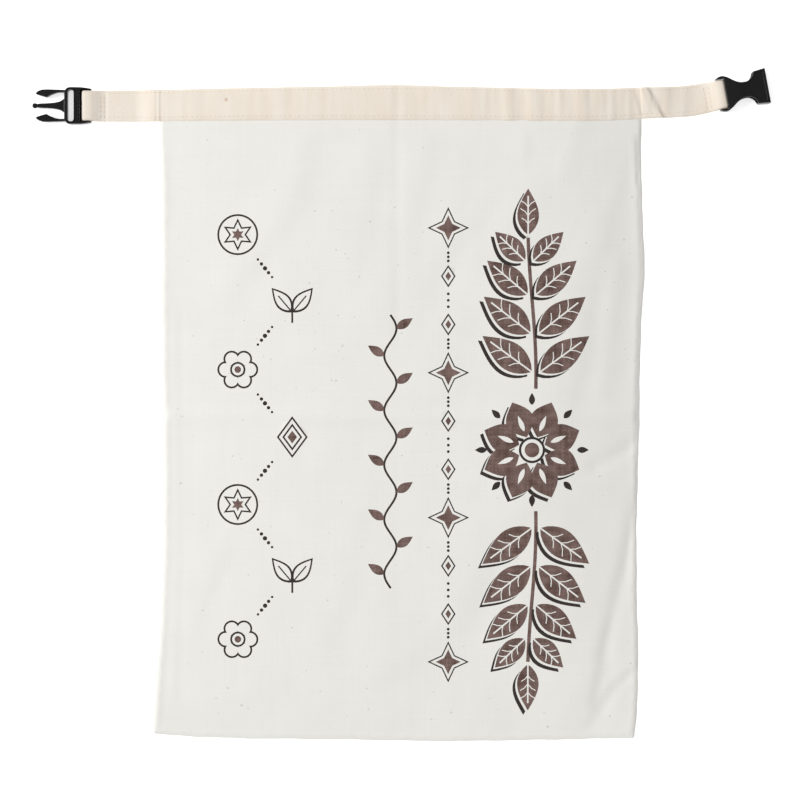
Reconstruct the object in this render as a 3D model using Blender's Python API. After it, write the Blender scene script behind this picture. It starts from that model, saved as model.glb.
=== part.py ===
"""A linen bread bag, lying empty on its back with its mouth a little open.

Two linen panels are sewn along both sides and the foot. A cotton tape binds the
mouth at the front and another at the back. Both run out past the sides, and the
front one loops round the bar of each half of a side-release buckle.

Frame: metres, +Z up. The origin is on the surface under the middle of the back.
+Y runs up the bag to its mouth, and +X runs to the socket half of the buckle.
All named sizes below are in millimetres.
"""

import math

import bmesh
import bpy
import numpy as np

MM = 0.001

# Cloth
LINEN = 1.0  # thickness of each panel, with its hem
TAPE = 1.0  # thickness of the cotton tape
GAP = 0.3  # air between pieces that touch
STEP_UP = LINEN + GAP  # from the middle of one layer to the middle of the next

# The two sides of the bag, cut and sewn a little unevenly
SIDES = (  # y, left x, right x
    (-203.0, -154.6, 146.3),
    (-182.0, -153.8, 148.1),
    (-150.0, -151.3, 148.8),
    (-119.0, -149.4, 148.1),
    (-72.0, -148.1, 147.8),
    (-10.0, -148.1, 149.4),
    (53.0, -149.1, 150.6),
    (92.0, -149.1, 152.8),
    (131.0, -149.1, 151.3),
    (176.0, -150.0, 150.6),
    (207.0, -150.0, 150.6),
)
FOOT = (  # x, y of the foot seam
    (-154.0, -199.3),
    (-115.0, -201.6),
    (-31.0, -202.9),
    (25.0, -204.0),
    (81.0, -203.4),
    (146.0, -202.1),
)
FRONT_TAPE = (  # x, y of its middle, width
    (-183.0, 192.6, 19.7),
    (-151.0, 192.6, 19.9),
    (-106.0, 193.0, 20.4),
    (-50.0, 193.4, 21.2),
    (-3.0, 193.6, 21.6),
    (44.0, 193.2, 21.0),
    (91.0, 192.6, 20.3),
    (137.0, 193.3, 20.0),
    (151.0, 194.2, 19.7),
    (170.0, 195.0, 19.4),
    (181.0, 195.9, 19.4),
    (190.0, 197.5, 19.2),
)
BACK_TAPE = (  # x, y of its middle, width
    (-183.0, 192.5, 19.2),
    (-151.0, 192.9, 19.4),
    (-106.0, 193.7, 19.8),
    (-50.0, 194.9, 20.0),
    (-3.0, 195.9, 20.4),
    (44.0, 194.5, 20.0),
    (91.0, 193.2, 19.8),
    (137.0, 193.6, 19.6),
    (151.0, 194.5, 19.4),
    (170.0, 195.2, 19.2),
    (181.0, 196.1, 19.2),
    (190.0, 197.6, 19.0),
)

# How the empty bag holds itself open
PUFF_BODY, PUFF_MOUTH = 6.0, 4.9  # how far the front stands off the back, beyond GAP
ROUNDING = 38.0  # width of the slope from a seam up to the flat of the front
WELT, WELT_AT, WELT_WIDTH = 0.5, 2.5, 1.8  # the ridge that a seam allowance makes
WELT_FADE = 12.0  # it sinks to nothing over this length below the tape
LIFT_Y, LIFT_RUN = 175.5, 5.5  # where the back panel climbs onto the back tape
MOUTH_Y = LIFT_Y + LIFT_RUN + 5.0  # a line across the mouth, well onto the tape

FOLDS = (  # height, half width, the line that the fold follows (x, y)
    (-1.1, 5.5, ((148.0, -50.0), (139.0, -95.0), (131.0, -124.0), (120.0, -176.0))),
    (-0.9, 4.5, ((149.0, -157.0), (140.0, -164.0), (131.0, -174.0), (121.0, -188.0))),
    (-0.15, 3.5, ((-1.5, 210.0), (-1.5, 50.0))),
    (0.3, 4.5, ((-150.0, -0.5), (-60.0, -1.5), (40.0, -2.0), (150.0, -1.0))),
    (-0.7, 6.0, ((147.0, 168.0), (131.0, 118.0), (121.0, 78.0), (116.0, 38.0), (106.0, 4.0))),
    (0.4, 6.0, ((134.0, 92.0), (130.0, 55.0), (125.0, 14.0))),
    (-0.7, 4.5, ((150.0, -17.0), (138.0, -24.0), (122.0, -32.0))),
)

# Grid lines across a panel: close together at a seam, then even
SEAM_STEPS = (0.0, 2.5, 6.0, 11.0, 18.0, 27.0, ROUNDING)
MOUTH_STEPS = (37.0, 31.0, 26.5, 24.0, 21.5, 11.0, 0.0)
FRONT_COLUMNS, FRONT_ROWS = 17, 27  # even lines between the close ones
BACK_COLUMNS, BACK_ROWS = 5, 9
HALF_PANEL = 149.5  # half the panel's mean width
PANEL_TUCK = 0.8  # how far the panel's top edge stays under the tape's

# The loop of tape round a buckle's bar
BAR_WIDE, BAR_HIGH = 2.8, 2.0
BAR_Z = TAPE + GAP + BAR_HIGH / 2
LOOP_R = BAR_HIGH / 2 + GAP + TAPE / 2
LOOP_RETURN = 13.0  # how far the end of the tape comes back under itself
LOOP_FALL = (2.0, 13.0)  # the upper layer comes down to the tab between these
TAB_Z = TAPE / 2 + STEP_UP
TAB_FALL = (0.9, 9.0)  # beyond the side seam, from the panel down to the tab
TAB_STEPS = (TAB_FALL[0], 2.6, 4.4, 6.6, TAB_FALL[1], 15.0, 22.0)
TAB_LONGER = 29.0  # one step more on the right, where the tab is longer
TAPE_OPENS = (3.0, 12.0)  # behind the bar, from its drawn-in width to its full one
BACK_TAPE_STOPS = 0.6  # how far the back tape ends short of the front tape's return
BACK_TAPE_STATIONS = 31

# Plug half of the buckle. a runs from the bar to the tips, b across
PLUG_AT = (-196.1, 192.6)
PLUG_TURN = math.pi
PLUG_TAPE = 18.8  # width of the tape where it is drawn together in the buckle
PLUG_THICK = 5.0
PLUG_EDGE, ARM_EDGE = 0.45, 0.35  # how much is taken off the edges
PLUG_BAR_HALF = 10.6  # half the length of the bar, into both side rails
PLUG_RIM = (  # a, b: one half of the frame's outline, round to the crossbar
    (13.3, 9.0),
    (11.4, 11.1),
    (9.5, 11.5),
    (3.0, 11.4),
    (-0.4, 11.0),
    (-3.6, 10.45),
    (-3.5, 10.0),
    (3.25, 9.9),
)
PLUG_SLOT = (7.25, 11.1, 9.9)  # a from, a to, half width
PLUG_ARM = (  # a, b: one sprung arm
    (12.4, 8.25),
    (16.2, 8.35),
    (18.6, 7.9),
    (21.6, 6.75),
    (24.2, 5.2),
    (27.5, 6.1),
    (31.0, 7.2),
    (30.6, 8.2),
    (29.3, 9.2),
    (26.8, 10.0),
    (23.3, 10.0),
    (12.4, 9.6),
)
PLUG_ARM_Z = (0.4, 4.6)
PLUG_PRONG = (  # a, half width of the middle prong, with the knob at its end
    (12.2, 5.0),
    (13.6, 4.2),
    (15.2, 3.0),
    (17.5, 2.25),
    (20.0, 1.8),
    (24.0, 1.5),
    (29.8, 1.2),
    (30.7, 0.95),
    (31.2, 1.5),
    (32.2, 1.6),
    (33.2, 0.9),
)
PLUG_PRONG_Z = (1.0, 4.0)

# Socket half of the buckle. a runs from the edge that the tape goes under to the mouth
SOCKET_AT = (203.0, 200.0)
SOCKET_TURN = math.radians(10.6)
SOCKET_TAPE = 18.0
SOCKET_THICK = 8.2
SOCKET_EDGE = 0.8
SOCKET_BAR, SOCKET_BAR_HALF = -1.7, 10.1  # a of the bar that carries the tape, its half length
SOCKET_HORN = (  # a, half width: the arms beside the tape, on one curve into the waist
    (-5.4, 9.6),
    (-2.8, 10.8),
    (0.0, 10.8),
    (2.9, 9.2),
    (5.8, 7.0),
    (8.5, 5.5),
    (11.9, 4.8),
    (14.4, 5.1),
    (16.2, 6.2),
    (17.7, 8.0),
)
SOCKET_BELL = ((18.5, 10.1), (26.2, 11.0))  # a, half width: the straight-sided mouth
SOCKET_WALL = 1.5  # top and bottom plates
SOCKET_BORE = (4.5, 9.4)  # a where the hollow starts, its half width
SOCKET_POCKET = (1.5, 9.5, 5.0)  # a where the tape's pocket ends, half width, height
SOCKET_SLOPE = ((-5.6, 5.6), (0.0, 6.8), (9.5, 8.2))  # a, z of the top's fall to the tape
SOCKET_TAIL_FLOOR = 4.0  # the tail's arms are cut away between them from here up
BEYOND = 3.0  # how far a cutter runs past what it cuts

COLOURS = {  # linear red, green, blue
    "linen": (0.84, 0.83, 0.79),
    "cotton tape": (0.86, 0.77, 0.67),
    "acetal": (0.010, 0.010, 0.011),
}


def smooth(share):
    """0 up to 0, 1 from 1 on, with an even slope between."""
    share = np.clip(share, 0.0, 1.0)
    return share * share * (3.0 - 2.0 * share)


def follow(table, at, column=1):
    """A table's column at a place, on a smooth curve through its rows."""
    places = np.array([row[0] for row in table])
    values = np.array([row[column] for row in table])
    slopes = np.gradient(values, places)
    i = int(np.clip(np.searchsorted(places, at) - 1, 0, len(places) - 2))
    step = places[i + 1] - places[i]
    t = float(np.clip((at - places[i]) / step, 0.0, 1.0))
    start = values[i] * (2 * t**3 - 3 * t**2 + 1) + step * slopes[i] * (t**3 - 2 * t**2 + t)
    end = values[i + 1] * (3 * t**2 - 2 * t**3) + step * slopes[i + 1] * (t**3 - t**2)
    return float(start + end)


def distance_to(line, x, y):
    """How far a point is from a line through a few points."""
    nearest = math.inf
    for (x0, y0), (x1, y1) in zip(line, line[1:]):
        run_x, run_y = x1 - x0, y1 - y0
        share = ((x - x0) * run_x + (y - y0) * run_y) / (run_x**2 + run_y**2)
        share = min(max(share, 0.0), 1.0)
        nearest = min(nearest, math.hypot(x - x0 - share * run_x, y - y0 - share * run_y))
    return nearest


def swell(depth):
    """How much of the full puff a point has, by its distance in from a seam."""
    return 1.0 - (1.0 - min(max(depth / ROUNDING, 0.0), 1.0)) ** 2


def onto_tape(y):
    """0 on the body of the bag and 1 where the panels lie on the back tape."""
    return float(smooth((y - LIFT_Y) / LIFT_RUN))


def back_middle(y):
    """Height of the middle of the back panel: on the surface, then up onto the tape."""
    return LINEN / 2 + STEP_UP * onto_tape(y)


def front_middle(x, y):
    """Height of the middle of the front panel, with its puff, welts and folds."""
    in_left = x - follow(SIDES, y, 1)
    in_right = follow(SIDES, y, 2) - x
    in_foot = y - follow(FOOT, x)
    puff = PUFF_BODY + (PUFF_MOUTH - PUFF_BODY) * onto_tape(y)
    puff *= swell(in_left) * swell(in_right) * swell(in_foot)
    nearest = min(in_left, in_right, in_foot)
    welt = WELT * math.exp(-(((nearest - WELT_AT) / WELT_WIDTH) ** 2))
    welt *= float(smooth((LIFT_Y - y) / WELT_FADE))
    held = float(smooth(nearest / WELT_WIDTH))  # a seam holds the cloth flat under a fold
    fold = sum(
        height * math.exp(-((distance_to(line, x, y) / half_width) ** 2))
        for height, half_width, line in FOLDS
    )
    return back_middle(y) + STEP_UP + puff + welt + fold * held * swell(nearest)


def new_object(name, vertices, faces, colour):
    """An object of one mesh, its vertices in millimetres, with its faces turned out."""
    mesh = bpy.data.meshes.new(name)
    mesh.from_pydata([tuple(float(c) * MM for c in v) for v in vertices], [], faces)
    shape = bmesh.new()
    shape.from_mesh(mesh)
    bmesh.ops.recalc_face_normals(shape, faces=shape.faces)
    shape.to_mesh(mesh)
    shape.free()
    obj = bpy.data.objects.new(name, mesh)
    bpy.context.scene.collection.objects.link(obj)
    obj.data.materials.append(material(colour))
    return obj


def material(name):
    """A plain material in the piece's own colour."""
    found = bpy.data.materials.get(name)
    if found:
        return found
    made = bpy.data.materials.new(name)
    made.use_nodes = True
    surface = made.node_tree.nodes["Principled BSDF"]
    surface.inputs["Base Color"].default_value = (*COLOURS[name], 1.0)
    surface.inputs["Roughness"].default_value = 0.3 if name == "acetal" else 0.9
    surface.inputs["Metallic"].default_value = 0.0
    made.diffuse_color = (*COLOURS[name], 1.0)
    return made


def slab(name, upper, lower, colour):
    """A closed sheet between two grids of points, joined round their rims."""
    across, along = len(upper), len(upper[0])
    count = across * along
    vertices = [p for line in upper for p in line] + [p for line in lower for p in line]
    faces = []
    for i in range(across - 1):
        for j in range(along - 1):
            corner = i * along + j
            quad = (corner, corner + 1, corner + along + 1, corner + along)
            faces.append(quad)
            faces.append(tuple(count + k for k in reversed(quad)))
    rim = list(range(along))
    rim += [i * along + along - 1 for i in range(1, across)]
    rim += [(across - 1) * along + j for j in range(along - 2, -1, -1)]
    rim += [i * along for i in range(across - 2, 0, -1)]
    for one, two in zip(rim, rim[1:] + rim[:1]):
        faces.append((one, two, count + two, count + one))
    return new_object(name, vertices, faces, colour)


# Panels


def column_places(count):
    """(share of the way across, offset) of each grid line from the left side to the right."""
    lines = [(0.0, step) for step in SEAM_STEPS]
    for k in range(1, count + 1):
        share = k / (count + 1)
        lines.append((share, ROUNDING * (1.0 - 2.0 * share)))
    return lines + [(1.0, -step) for step in reversed(SEAM_STEPS)]


def row_places(count):
    """(share of the way up, offset) of each grid line from the foot to the mouth."""
    lines = [(0.0, step) for step in SEAM_STEPS]
    for k in range(1, count + 1):
        share = k / (count + 1)
        lines.append((share, ROUNDING * (1.0 - share) - MOUTH_STEPS[0] * share))
    return lines + [(1.0, -step) for step in MOUTH_STEPS]


def panel_grid(columns, rows):
    """The panel's grid in plan: its points (x, y), line by line across."""
    grid = []
    for across, offset in column_places(columns):
        line = []
        x_even = HALF_PANEL * (2.0 * across - 1.0) + offset
        foot = follow(FOOT, x_even)
        mouth = follow(FRONT_TAPE, x_even) + follow(FRONT_TAPE, x_even, 2) / 2 - PANEL_TUCK
        for up, rise in row_places(rows):
            y = foot * (1.0 - up) + mouth * up + rise
            left, right = follow(SIDES, y, 1), follow(SIDES, y, 2)
            line.append((left * (1.0 - across) + right * across + offset, y))
        grid.append(line)
    return grid


def panel(name, grid, height):
    """A linen panel whose middle is at a height for each place."""
    middle = [[(x, y, height(x, y)) for x, y in line] for line in grid]
    half = LINEN / 2
    upper = [[(x, y, z + half) for x, y, z in line] for line in middle]
    lower = [[(x, y, z - half) for x, y, z in line] for line in middle]
    return slab(name, upper, lower, "linen")


# Tapes


def on_buckle(at, turn, a, b=0.0):
    """A place in plan, from a buckle half's own a and b."""
    x = at[0] + a * math.cos(turn) - b * math.sin(turn)
    y = at[1] + a * math.sin(turn) + b * math.cos(turn)
    return x, y


def loop_side():
    """(a, z) of the tape's middle from its end, back under itself and round the bar."""
    centre = BAR_WIDE / 2 - BAR_HIGH / 2
    path = [(-LOOP_RETURN * k / 4, BAR_Z - LOOP_R) for k in (4, 3, 2, 1, 0)]
    for k in range(9):
        angle = math.radians(-90.0 + 22.5 * k)
        path.append((centre + LOOP_R * math.cos(angle), BAR_Z + LOOP_R * math.sin(angle)))
    top = BAR_Z + LOOP_R
    start, end = LOOP_FALL
    for back in (0.8, 2.0, 3.8, 5.6, 7.5, 9.4, 11.2, end):
        share = float(smooth((back - start) / (end - start)))
        path.append((-back, top + (TAB_Z - top) * share))
    return path


def tape_width(a, drawn_in, full):
    """The tape is drawn together in a buckle and opens out behind it."""
    start, end = TAPE_OPENS
    return drawn_in + (full - drawn_in) * float(smooth((-a - start) / (end - start)))


def tab_height(step, edge_z):
    """Height of the front tape's middle at a distance out from the side of the bag."""
    start, end = TAB_FALL
    return edge_z + (TAB_Z - edge_z) * float(smooth((step - start) / (end - start)))


def bag_stretch():
    """x, y, z and width of the front tape's stations between the two buckles."""
    left, right = SIDES[-1][1], SIDES[-1][2]
    edge_z = front_middle(left, MOUTH_Y) + STEP_UP
    stations = [(left - step, tab_height(step, edge_z)) for step in reversed(TAB_STEPS)]
    for across, offset in column_places(FRONT_COLUMNS):
        x = left * (1.0 - across) + right * across + offset
        stations.append((x, front_middle(x, MOUTH_Y) + STEP_UP))
    for step in (*TAB_STEPS, TAB_LONGER):
        stations.append((right + step, tab_height(step, edge_z)))
    return [(x, follow(FRONT_TAPE, x), z, follow(FRONT_TAPE, x, 2)) for x, z in stations]


def ribbon(name, stations, cross_lines=4):
    """A tape through (x, y, z, width, heading) stations, thick along its own normal."""
    points = np.array([s[:3] for s in stations])
    along = np.gradient(points, axis=0)
    upper, lower = [], []
    for point, run, station in zip(points, along, stations):
        width, heading = station[3], station[4]
        across = np.array([-math.sin(heading), math.cos(heading), 0.0])
        run = run - across * (run @ across)
        normal = np.cross(run / np.linalg.norm(run), across)
        places = [across * width * (k / (cross_lines - 1) - 0.5) for k in range(cross_lines)]
        upper.append([tuple(point + place + normal * TAPE / 2) for place in places])
        lower.append([tuple(point + place - normal * TAPE / 2) for place in places])
    return slab(name, upper, lower, "cotton tape")


def with_headings(stations, reach=2):
    """Adds to each (x, y, z, width) the way that the tape heads in plan."""
    found = []
    for k, station in enumerate(stations):
        before = stations[max(k - reach, 0)]
        after = stations[min(k + reach, len(stations) - 1)]
        heading = math.atan2(after[1] - before[1], after[0] - before[0])
        found.append((*station, heading))
    return found


def front_tape():
    """The front tape, from its left end round both bars to its right end."""
    side = loop_side()
    full_left, full_right = FRONT_TAPE[0][2], FRONT_TAPE[-1][2]
    left = [
        (*on_buckle(PLUG_AT, PLUG_TURN, a), z, tape_width(a, PLUG_TAPE, full_left), 0.0)
        for a, z in side
    ]
    bar = on_buckle(SOCKET_AT, SOCKET_TURN, SOCKET_BAR)
    right = [
        (*on_buckle(bar, SOCKET_TURN, a), z, tape_width(a, SOCKET_TAPE, full_right), SOCKET_TURN)
        for a, z in reversed(side)
    ]
    return ribbon("tape_front", left + with_headings(bag_stretch()) + right)


def back_tape():
    """The back tape, flat on the surface between the two ends of the front one."""
    start = PLUG_AT[0] + LOOP_RETURN + BACK_TAPE_STOPS
    bar = on_buckle(SOCKET_AT, SOCKET_TURN, SOCKET_BAR)
    end = on_buckle(bar, SOCKET_TURN, -LOOP_RETURN - BACK_TAPE_STOPS)
    stations = []
    for k in range(BACK_TAPE_STATIONS):
        x = start + (end[0] - start) * k / (BACK_TAPE_STATIONS - 1)
        stations.append((x, follow(BACK_TAPE, x), TAPE / 2, follow(BACK_TAPE, x, 2)))
    return ribbon("tape_back", with_headings(stations, 1), 3)


# Buckle


def inset(outline, by):
    """An outline taken in by the same amount all round. It runs counter-clockwise."""
    taken_in = []
    for k, (a, b) in enumerate(outline):
        before, after = outline[k - 1], outline[(k + 1) % len(outline)]
        one = np.array([a - before[0], b - before[1]])
        two = np.array([after[0] - a, after[1] - b])
        in_one = np.array([-one[1], one[0]]) / np.linalg.norm(one)
        in_two = np.array([-two[1], two[0]]) / np.linalg.norm(two)
        shift = (in_one + in_two) / (1.0 + in_one @ in_two) * by
        taken_in.append((a + shift[0], b + shift[1]))
    return taken_in


def plate(name, outline, low, high, chamfer=0.0):
    """A flat plate of one outline between two heights, its edges taken off."""
    area = sum(a * d - c * b for (a, b), (c, d) in zip(outline, outline[1:] + outline[:1]))
    outline = outline if area > 0 else outline[::-1]
    small = inset(outline, chamfer) if chamfer else outline
    rings = [(small, low), (outline, low + chamfer), (outline, high - chamfer), (small, high)]
    rings = rings if chamfer else [(outline, low), (outline, high)]
    vertices = [(a, b, z) for ring, z in rings for a, b in ring]
    count = len(outline)
    faces = [tuple(range(count)), tuple((len(rings) - 1) * count + k for k in range(count))]
    for level in range(len(rings) - 1):
        for k in range(count):
            here, beside = level * count + k, level * count + (k + 1) % count
            faces.append((here, beside, beside + count, here + count))
    return new_object(name, vertices, faces, "acetal")


def along_b(name, section, half):
    """A bar of one section in a and z, lying along b."""
    count = len(section)
    vertices = [(a, -half, z) for a, z in section] + [(a, half, z) for a, z in section]
    faces = [tuple(range(count)), tuple(range(count, 2 * count))]
    faces += [(k, (k + 1) % count, count + (k + 1) % count, count + k) for k in range(count)]
    return new_object(name, vertices, faces, "acetal")


def cross_bar(name, a, half):
    """The bar that a tape loops round, with round edges."""
    straight, radius = BAR_WIDE / 2 - BAR_HIGH / 2, BAR_HIGH / 2
    section = []
    for side, start in ((1, -90.0), (-1, 90.0)):
        for k in range(7):
            angle = math.radians(start + 30.0 * k)
            round_a = a + side * straight + radius * math.cos(angle)
            section.append((round_a, BAR_Z + radius * math.sin(angle)))
    return along_b(name, section, half)


def block(name, a_from, a_to, half, low, high):
    """A plain box, for cutting."""
    return plate(name, [(a_from, -half), (a_to, -half), (a_to, half), (a_from, half)], low, high)


def change(body, tool, how):
    """Joins or cuts a body with a tool, which is then only a guide."""
    step = body.modifiers.new(tool.name, "BOOLEAN")
    step.operation = how
    step.object = tool
    step.solver = "EXACT"
    tool.hide_render = True
    tool.display_type = "WIRE"
    return tool


def place(pieces, at, turn):
    """Sets a buckle half and its guides down on the bag."""
    for piece in pieces:
        piece.location = (at[0] * MM, at[1] * MM, 0.0)
        piece.rotation_euler = (0.0, 0.0, turn)


def mirrored(half):
    """A whole outline from one half of it, listed from one end to the other."""
    return list(half) + [(a, -b) for a, b in reversed(half)]


def slot_outline(a_from, a_to, half, corner=1.9):
    """A slot with round corners."""
    outline = []
    for a, b, start in (
        (a_to - corner, -half + corner, -90.0),
        (a_to - corner, half - corner, 0.0),
        (a_from + corner, half - corner, 90.0),
        (a_from + corner, -half + corner, 180.0),
    ):
        for k in range(4):
            angle = math.radians(start + 30.0 * k)
            outline.append((a + corner * math.cos(angle), b + corner * math.sin(angle)))
    return outline


def plug():
    """The plug half: a frame with two sprung arms and a prong between them."""
    frame = plate("buckle_plug", mirrored(PLUG_RIM), 0.0, PLUG_THICK, PLUG_EDGE)
    slot = plate("plug_slot", slot_outline(*PLUG_SLOT), -BEYOND, PLUG_THICK + BEYOND)
    prong = plate("plug_prong", mirrored(PLUG_PRONG), *PLUG_PRONG_Z, ARM_EDGE)
    guides = [
        change(frame, slot, "DIFFERENCE"),
        change(frame, cross_bar("plug_bar", 0.0, PLUG_BAR_HALF), "UNION"),
        change(frame, prong, "UNION"),
    ]
    for name, side in (("plug_arm_1", 1), ("plug_arm_2", -1)):
        arm = [(a, side * b) for a, b in PLUG_ARM]
        guides.append(change(frame, plate(name, arm, *PLUG_ARM_Z, ARM_EDGE), "UNION"))
    place([frame, *guides], PLUG_AT, PLUG_TURN)
    return frame


def socket_rim():
    """One half of the socket's outline, with the arms and the waist as a smooth curve."""
    places = [row[0] for row in SOCKET_HORN]
    finer = [a + (b - a) * k / 2 for a, b in zip(places, places[1:]) for k in (0, 1)]
    return [(a, follow(SOCKET_HORN, a)) for a in finer + places[-1:]] + list(SOCKET_BELL)


def socket():
    """The socket half: a waisted shell, open at its mouth and at both sides of the waist."""
    rim = socket_rim()
    shell = plate("buckle_socket", mirrored(rim), 0.0, SOCKET_THICK, SOCKET_EDGE)
    bore_a, bore_half = SOCKET_BORE
    pocket_a, pocket_half, pocket_high = SOCKET_POCKET
    behind, before = rim[0][0] - BEYOND, rim[-1][0] + BEYOND
    over, under = SOCKET_THICK + BEYOND, -BEYOND
    slope = [*SOCKET_SLOPE, (SOCKET_SLOPE[-1][0], over), (SOCKET_SLOPE[0][0], over)]
    cuts = [
        block("socket_bore", bore_a, before, bore_half, SOCKET_WALL, SOCKET_THICK - SOCKET_WALL),
        block("socket_pocket", behind, pocket_a, pocket_half, under, pocket_high),
        block("socket_back", behind, 0.0, pocket_half, SOCKET_TAIL_FLOOR, over),
        along_b("socket_top", slope, 2 * bore_half),
    ]
    guides = [change(shell, cut, "DIFFERENCE") for cut in cuts]
    guides.append(change(shell, cross_bar("socket_bar", SOCKET_BAR, SOCKET_BAR_HALF), "UNION"))
    place([shell, *guides], SOCKET_AT, SOCKET_TURN)
    return shell


for old in list(bpy.data.objects):
    bpy.data.objects.remove(old, do_unlink=True)

bag = bpy.data.objects.new("bag", None)
bpy.context.scene.collection.objects.link(bag)
pieces = [
    panel("panel_front", panel_grid(FRONT_COLUMNS, FRONT_ROWS), front_middle),
    panel("panel_back", panel_grid(BACK_COLUMNS, BACK_ROWS), lambda x, y: back_middle(y)),
    front_tape(),
    back_tape(),
    plug(),
    socket(),
]
for piece in pieces:
    piece.parent = bag
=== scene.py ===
"""The looks of an empty linen bread bag that lies on its back with its buckle undone.

Sizes are in millimetres and become metres where a mesh is made. +X runs across the
bag to the socket half of its buckle, +Y runs up the bag to its mouth, and +Z comes
off the surface that it lies on.
"""

import math

import bpy
import numpy as np
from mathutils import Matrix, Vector, noise
from mathutils.geometry import delaunay_2d_cdt


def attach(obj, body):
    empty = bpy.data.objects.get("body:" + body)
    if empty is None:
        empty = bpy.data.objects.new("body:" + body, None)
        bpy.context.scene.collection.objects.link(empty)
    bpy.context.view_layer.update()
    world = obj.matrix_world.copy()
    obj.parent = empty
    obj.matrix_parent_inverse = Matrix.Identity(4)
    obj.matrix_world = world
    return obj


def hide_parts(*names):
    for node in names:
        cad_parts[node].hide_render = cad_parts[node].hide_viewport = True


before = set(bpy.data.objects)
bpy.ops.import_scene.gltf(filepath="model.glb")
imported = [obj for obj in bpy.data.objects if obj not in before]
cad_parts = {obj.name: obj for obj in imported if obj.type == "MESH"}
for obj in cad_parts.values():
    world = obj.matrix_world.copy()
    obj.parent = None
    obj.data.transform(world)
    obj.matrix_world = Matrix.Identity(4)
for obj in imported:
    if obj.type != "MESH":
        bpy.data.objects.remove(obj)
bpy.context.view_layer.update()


# Back panel
# One cut of washed, plain-woven linen, flat on the surface but for its top, which
# climbs onto the back tape. It was sewn to the front inside out and then turned, so
# its edges roll up to a seam that runs half way up the edge of the bag.

MM = 0.001
LINEN = 1.0  # thickness of the washed cloth, with its nap
STEP_UP = 1.3  # from the middle of one layer to the middle of the next
SIDES = (  # y, left x, right x
    (-203.0, -154.6, 146.3),
    (-182.0, -153.8, 148.1),
    (-150.0, -151.3, 148.8),
    (-119.0, -149.4, 148.1),
    (-72.0, -148.1, 147.8),
    (-10.0, -148.1, 149.4),
    (53.0, -149.1, 150.6),
    (92.0, -149.1, 152.8),
    (131.0, -149.1, 151.3),
    (176.0, -150.0, 150.6),
    (207.0, -150.0, 150.6),
)
FOOT = (  # x, y of the foot seam
    (-154.0, -199.3),
    (-115.0, -201.6),
    (-31.0, -202.9),
    (25.0, -204.0),
    (81.0, -203.4),
    (146.0, -202.1),
)
FRONT_TAPE = (  # x, y of its middle, width: both panels are cut to its upper edge
    (-183.0, 192.6, 19.7),
    (-151.0, 192.6, 19.9),
    (-106.0, 193.0, 20.4),
    (-50.0, 193.4, 21.2),
    (-3.0, 193.6, 21.6),
    (44.0, 193.2, 21.0),
    (91.0, 192.6, 20.3),
    (137.0, 193.3, 20.0),
    (151.0, 194.2, 19.7),
    (170.0, 195.0, 19.4),
    (181.0, 195.9, 19.4),
    (190.0, 197.5, 19.2),
)
PANEL_TUCK = 0.8  # how far the panels' top edges stay under the tape's
HALF_PANEL = 149.5  # half the mean width
LIFT_Y, LIFT_RUN = 171.5, 10.5  # where the back panel climbs onto the back tape
CORNER = 1.8  # radius of the two turned corners at the foot
WANDER = 0.14  # how far a hand-guided seam strays from its line
SIDE_WANDER, FOOT_WANDER = (7.3, 2.9), (6.1, 2.7)  # runs of its long and its short waves
# The mesh's own lines lie this far in from a seam, and this far down from the top edge.
SEAM_STEPS = (0.0, 0.08, 0.25, 0.5, 0.8, 1.2, 1.6, 2.0, 2.5, 3.0, 3.5, 4.2, 5.4, 7.2, 9.4, 12.0)
MOUTH_STEPS = (30.0, 28.0, 26.3, 25.0, 23.8, 22.5, 21.0, 19.0, 16.0, 12.0, 8.0, 4.0, 0.0)
ROLL = 2.8  # how far in the rolled edge reaches
SEAM_Z = 1.15  # height of the seam line, between the two panels
SEAM_HALF_GAP, RIM = 0.05, 0.1  # the panels meet there, each thinned to a rim
BACK_SPACING = 5.0  # between the mesh lines
SHARP = math.radians(60)  # where two faces meet at more than this, the edge stays sharp
YARN = 1.1  # drawn distance between two yarns
STRAY, STRAY_RUN = 0.45, 9.0  # how far a yarn strays from straight, and over what length
SLUB_LONG, SLUB_WIDE = 62.5, 5 / 3  # size of a thick or dark stretch of yarn, in yarns
STRAW = 2.2  # size of the unevenness whose few peaks are bits of straw


def smooth(share):
    """0 up to 0, 1 from 1 on, with an even slope between."""
    share = np.clip(share, 0.0, 1.0)
    return share * share * (3.0 - 2.0 * share)


def follow(table, at, column=1):
    """A table's column at each place, on a smooth curve through its rows."""
    places, values = np.array(table, float)[:, [0, column]].T
    slopes = np.gradient(values, places)
    i = np.clip(np.searchsorted(places, at) - 1, 0, len(places) - 2)
    step = places[i + 1] - places[i]
    t = np.clip((at - places[i]) / step, 0.0, 1.0)
    start = values[i] * (2 * t**3 - 3 * t**2 + 1) + step * slopes[i] * (t**3 - 2 * t**2 + t)
    return start + values[i + 1] * (3 * t**2 - 2 * t**3) + step * slopes[i + 1] * (t**3 - t**2)


def wander(along, long, short, phase=0):
    """How far a seam strays from its line."""
    return WANDER * (np.sin(along / long + phase) + 0.7 * np.sin(along / short + 2 * phase))


def side_seam(y, column):
    """x of the left (1) or right (2) seam."""
    return follow(SIDES, y, column) + wander(y, *SIDE_WANDER, column)


def foot_seam(x):
    """y of the foot seam."""
    return follow(FOOT, x) + wander(x, *FOOT_WANDER)


def seam_depth(x, y):
    """How far in from the nearest seam each place is, round the corners too."""
    beside = np.minimum(x - side_seam(y, 1), side_seam(y, 2) - x)
    above = y - foot_seam(x)
    to_corner = CORNER - np.hypot(CORNER - beside, CORNER - above)
    in_corner = (beside < CORNER) & (above < CORNER)
    return np.where(in_corner, to_corner, np.minimum(beside, above))


def onto_tape(y):
    """0 on the body of the bag and 1 where the panels lie on the back tape."""
    return smooth((y - LIFT_Y) / LIFT_RUN)


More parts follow.
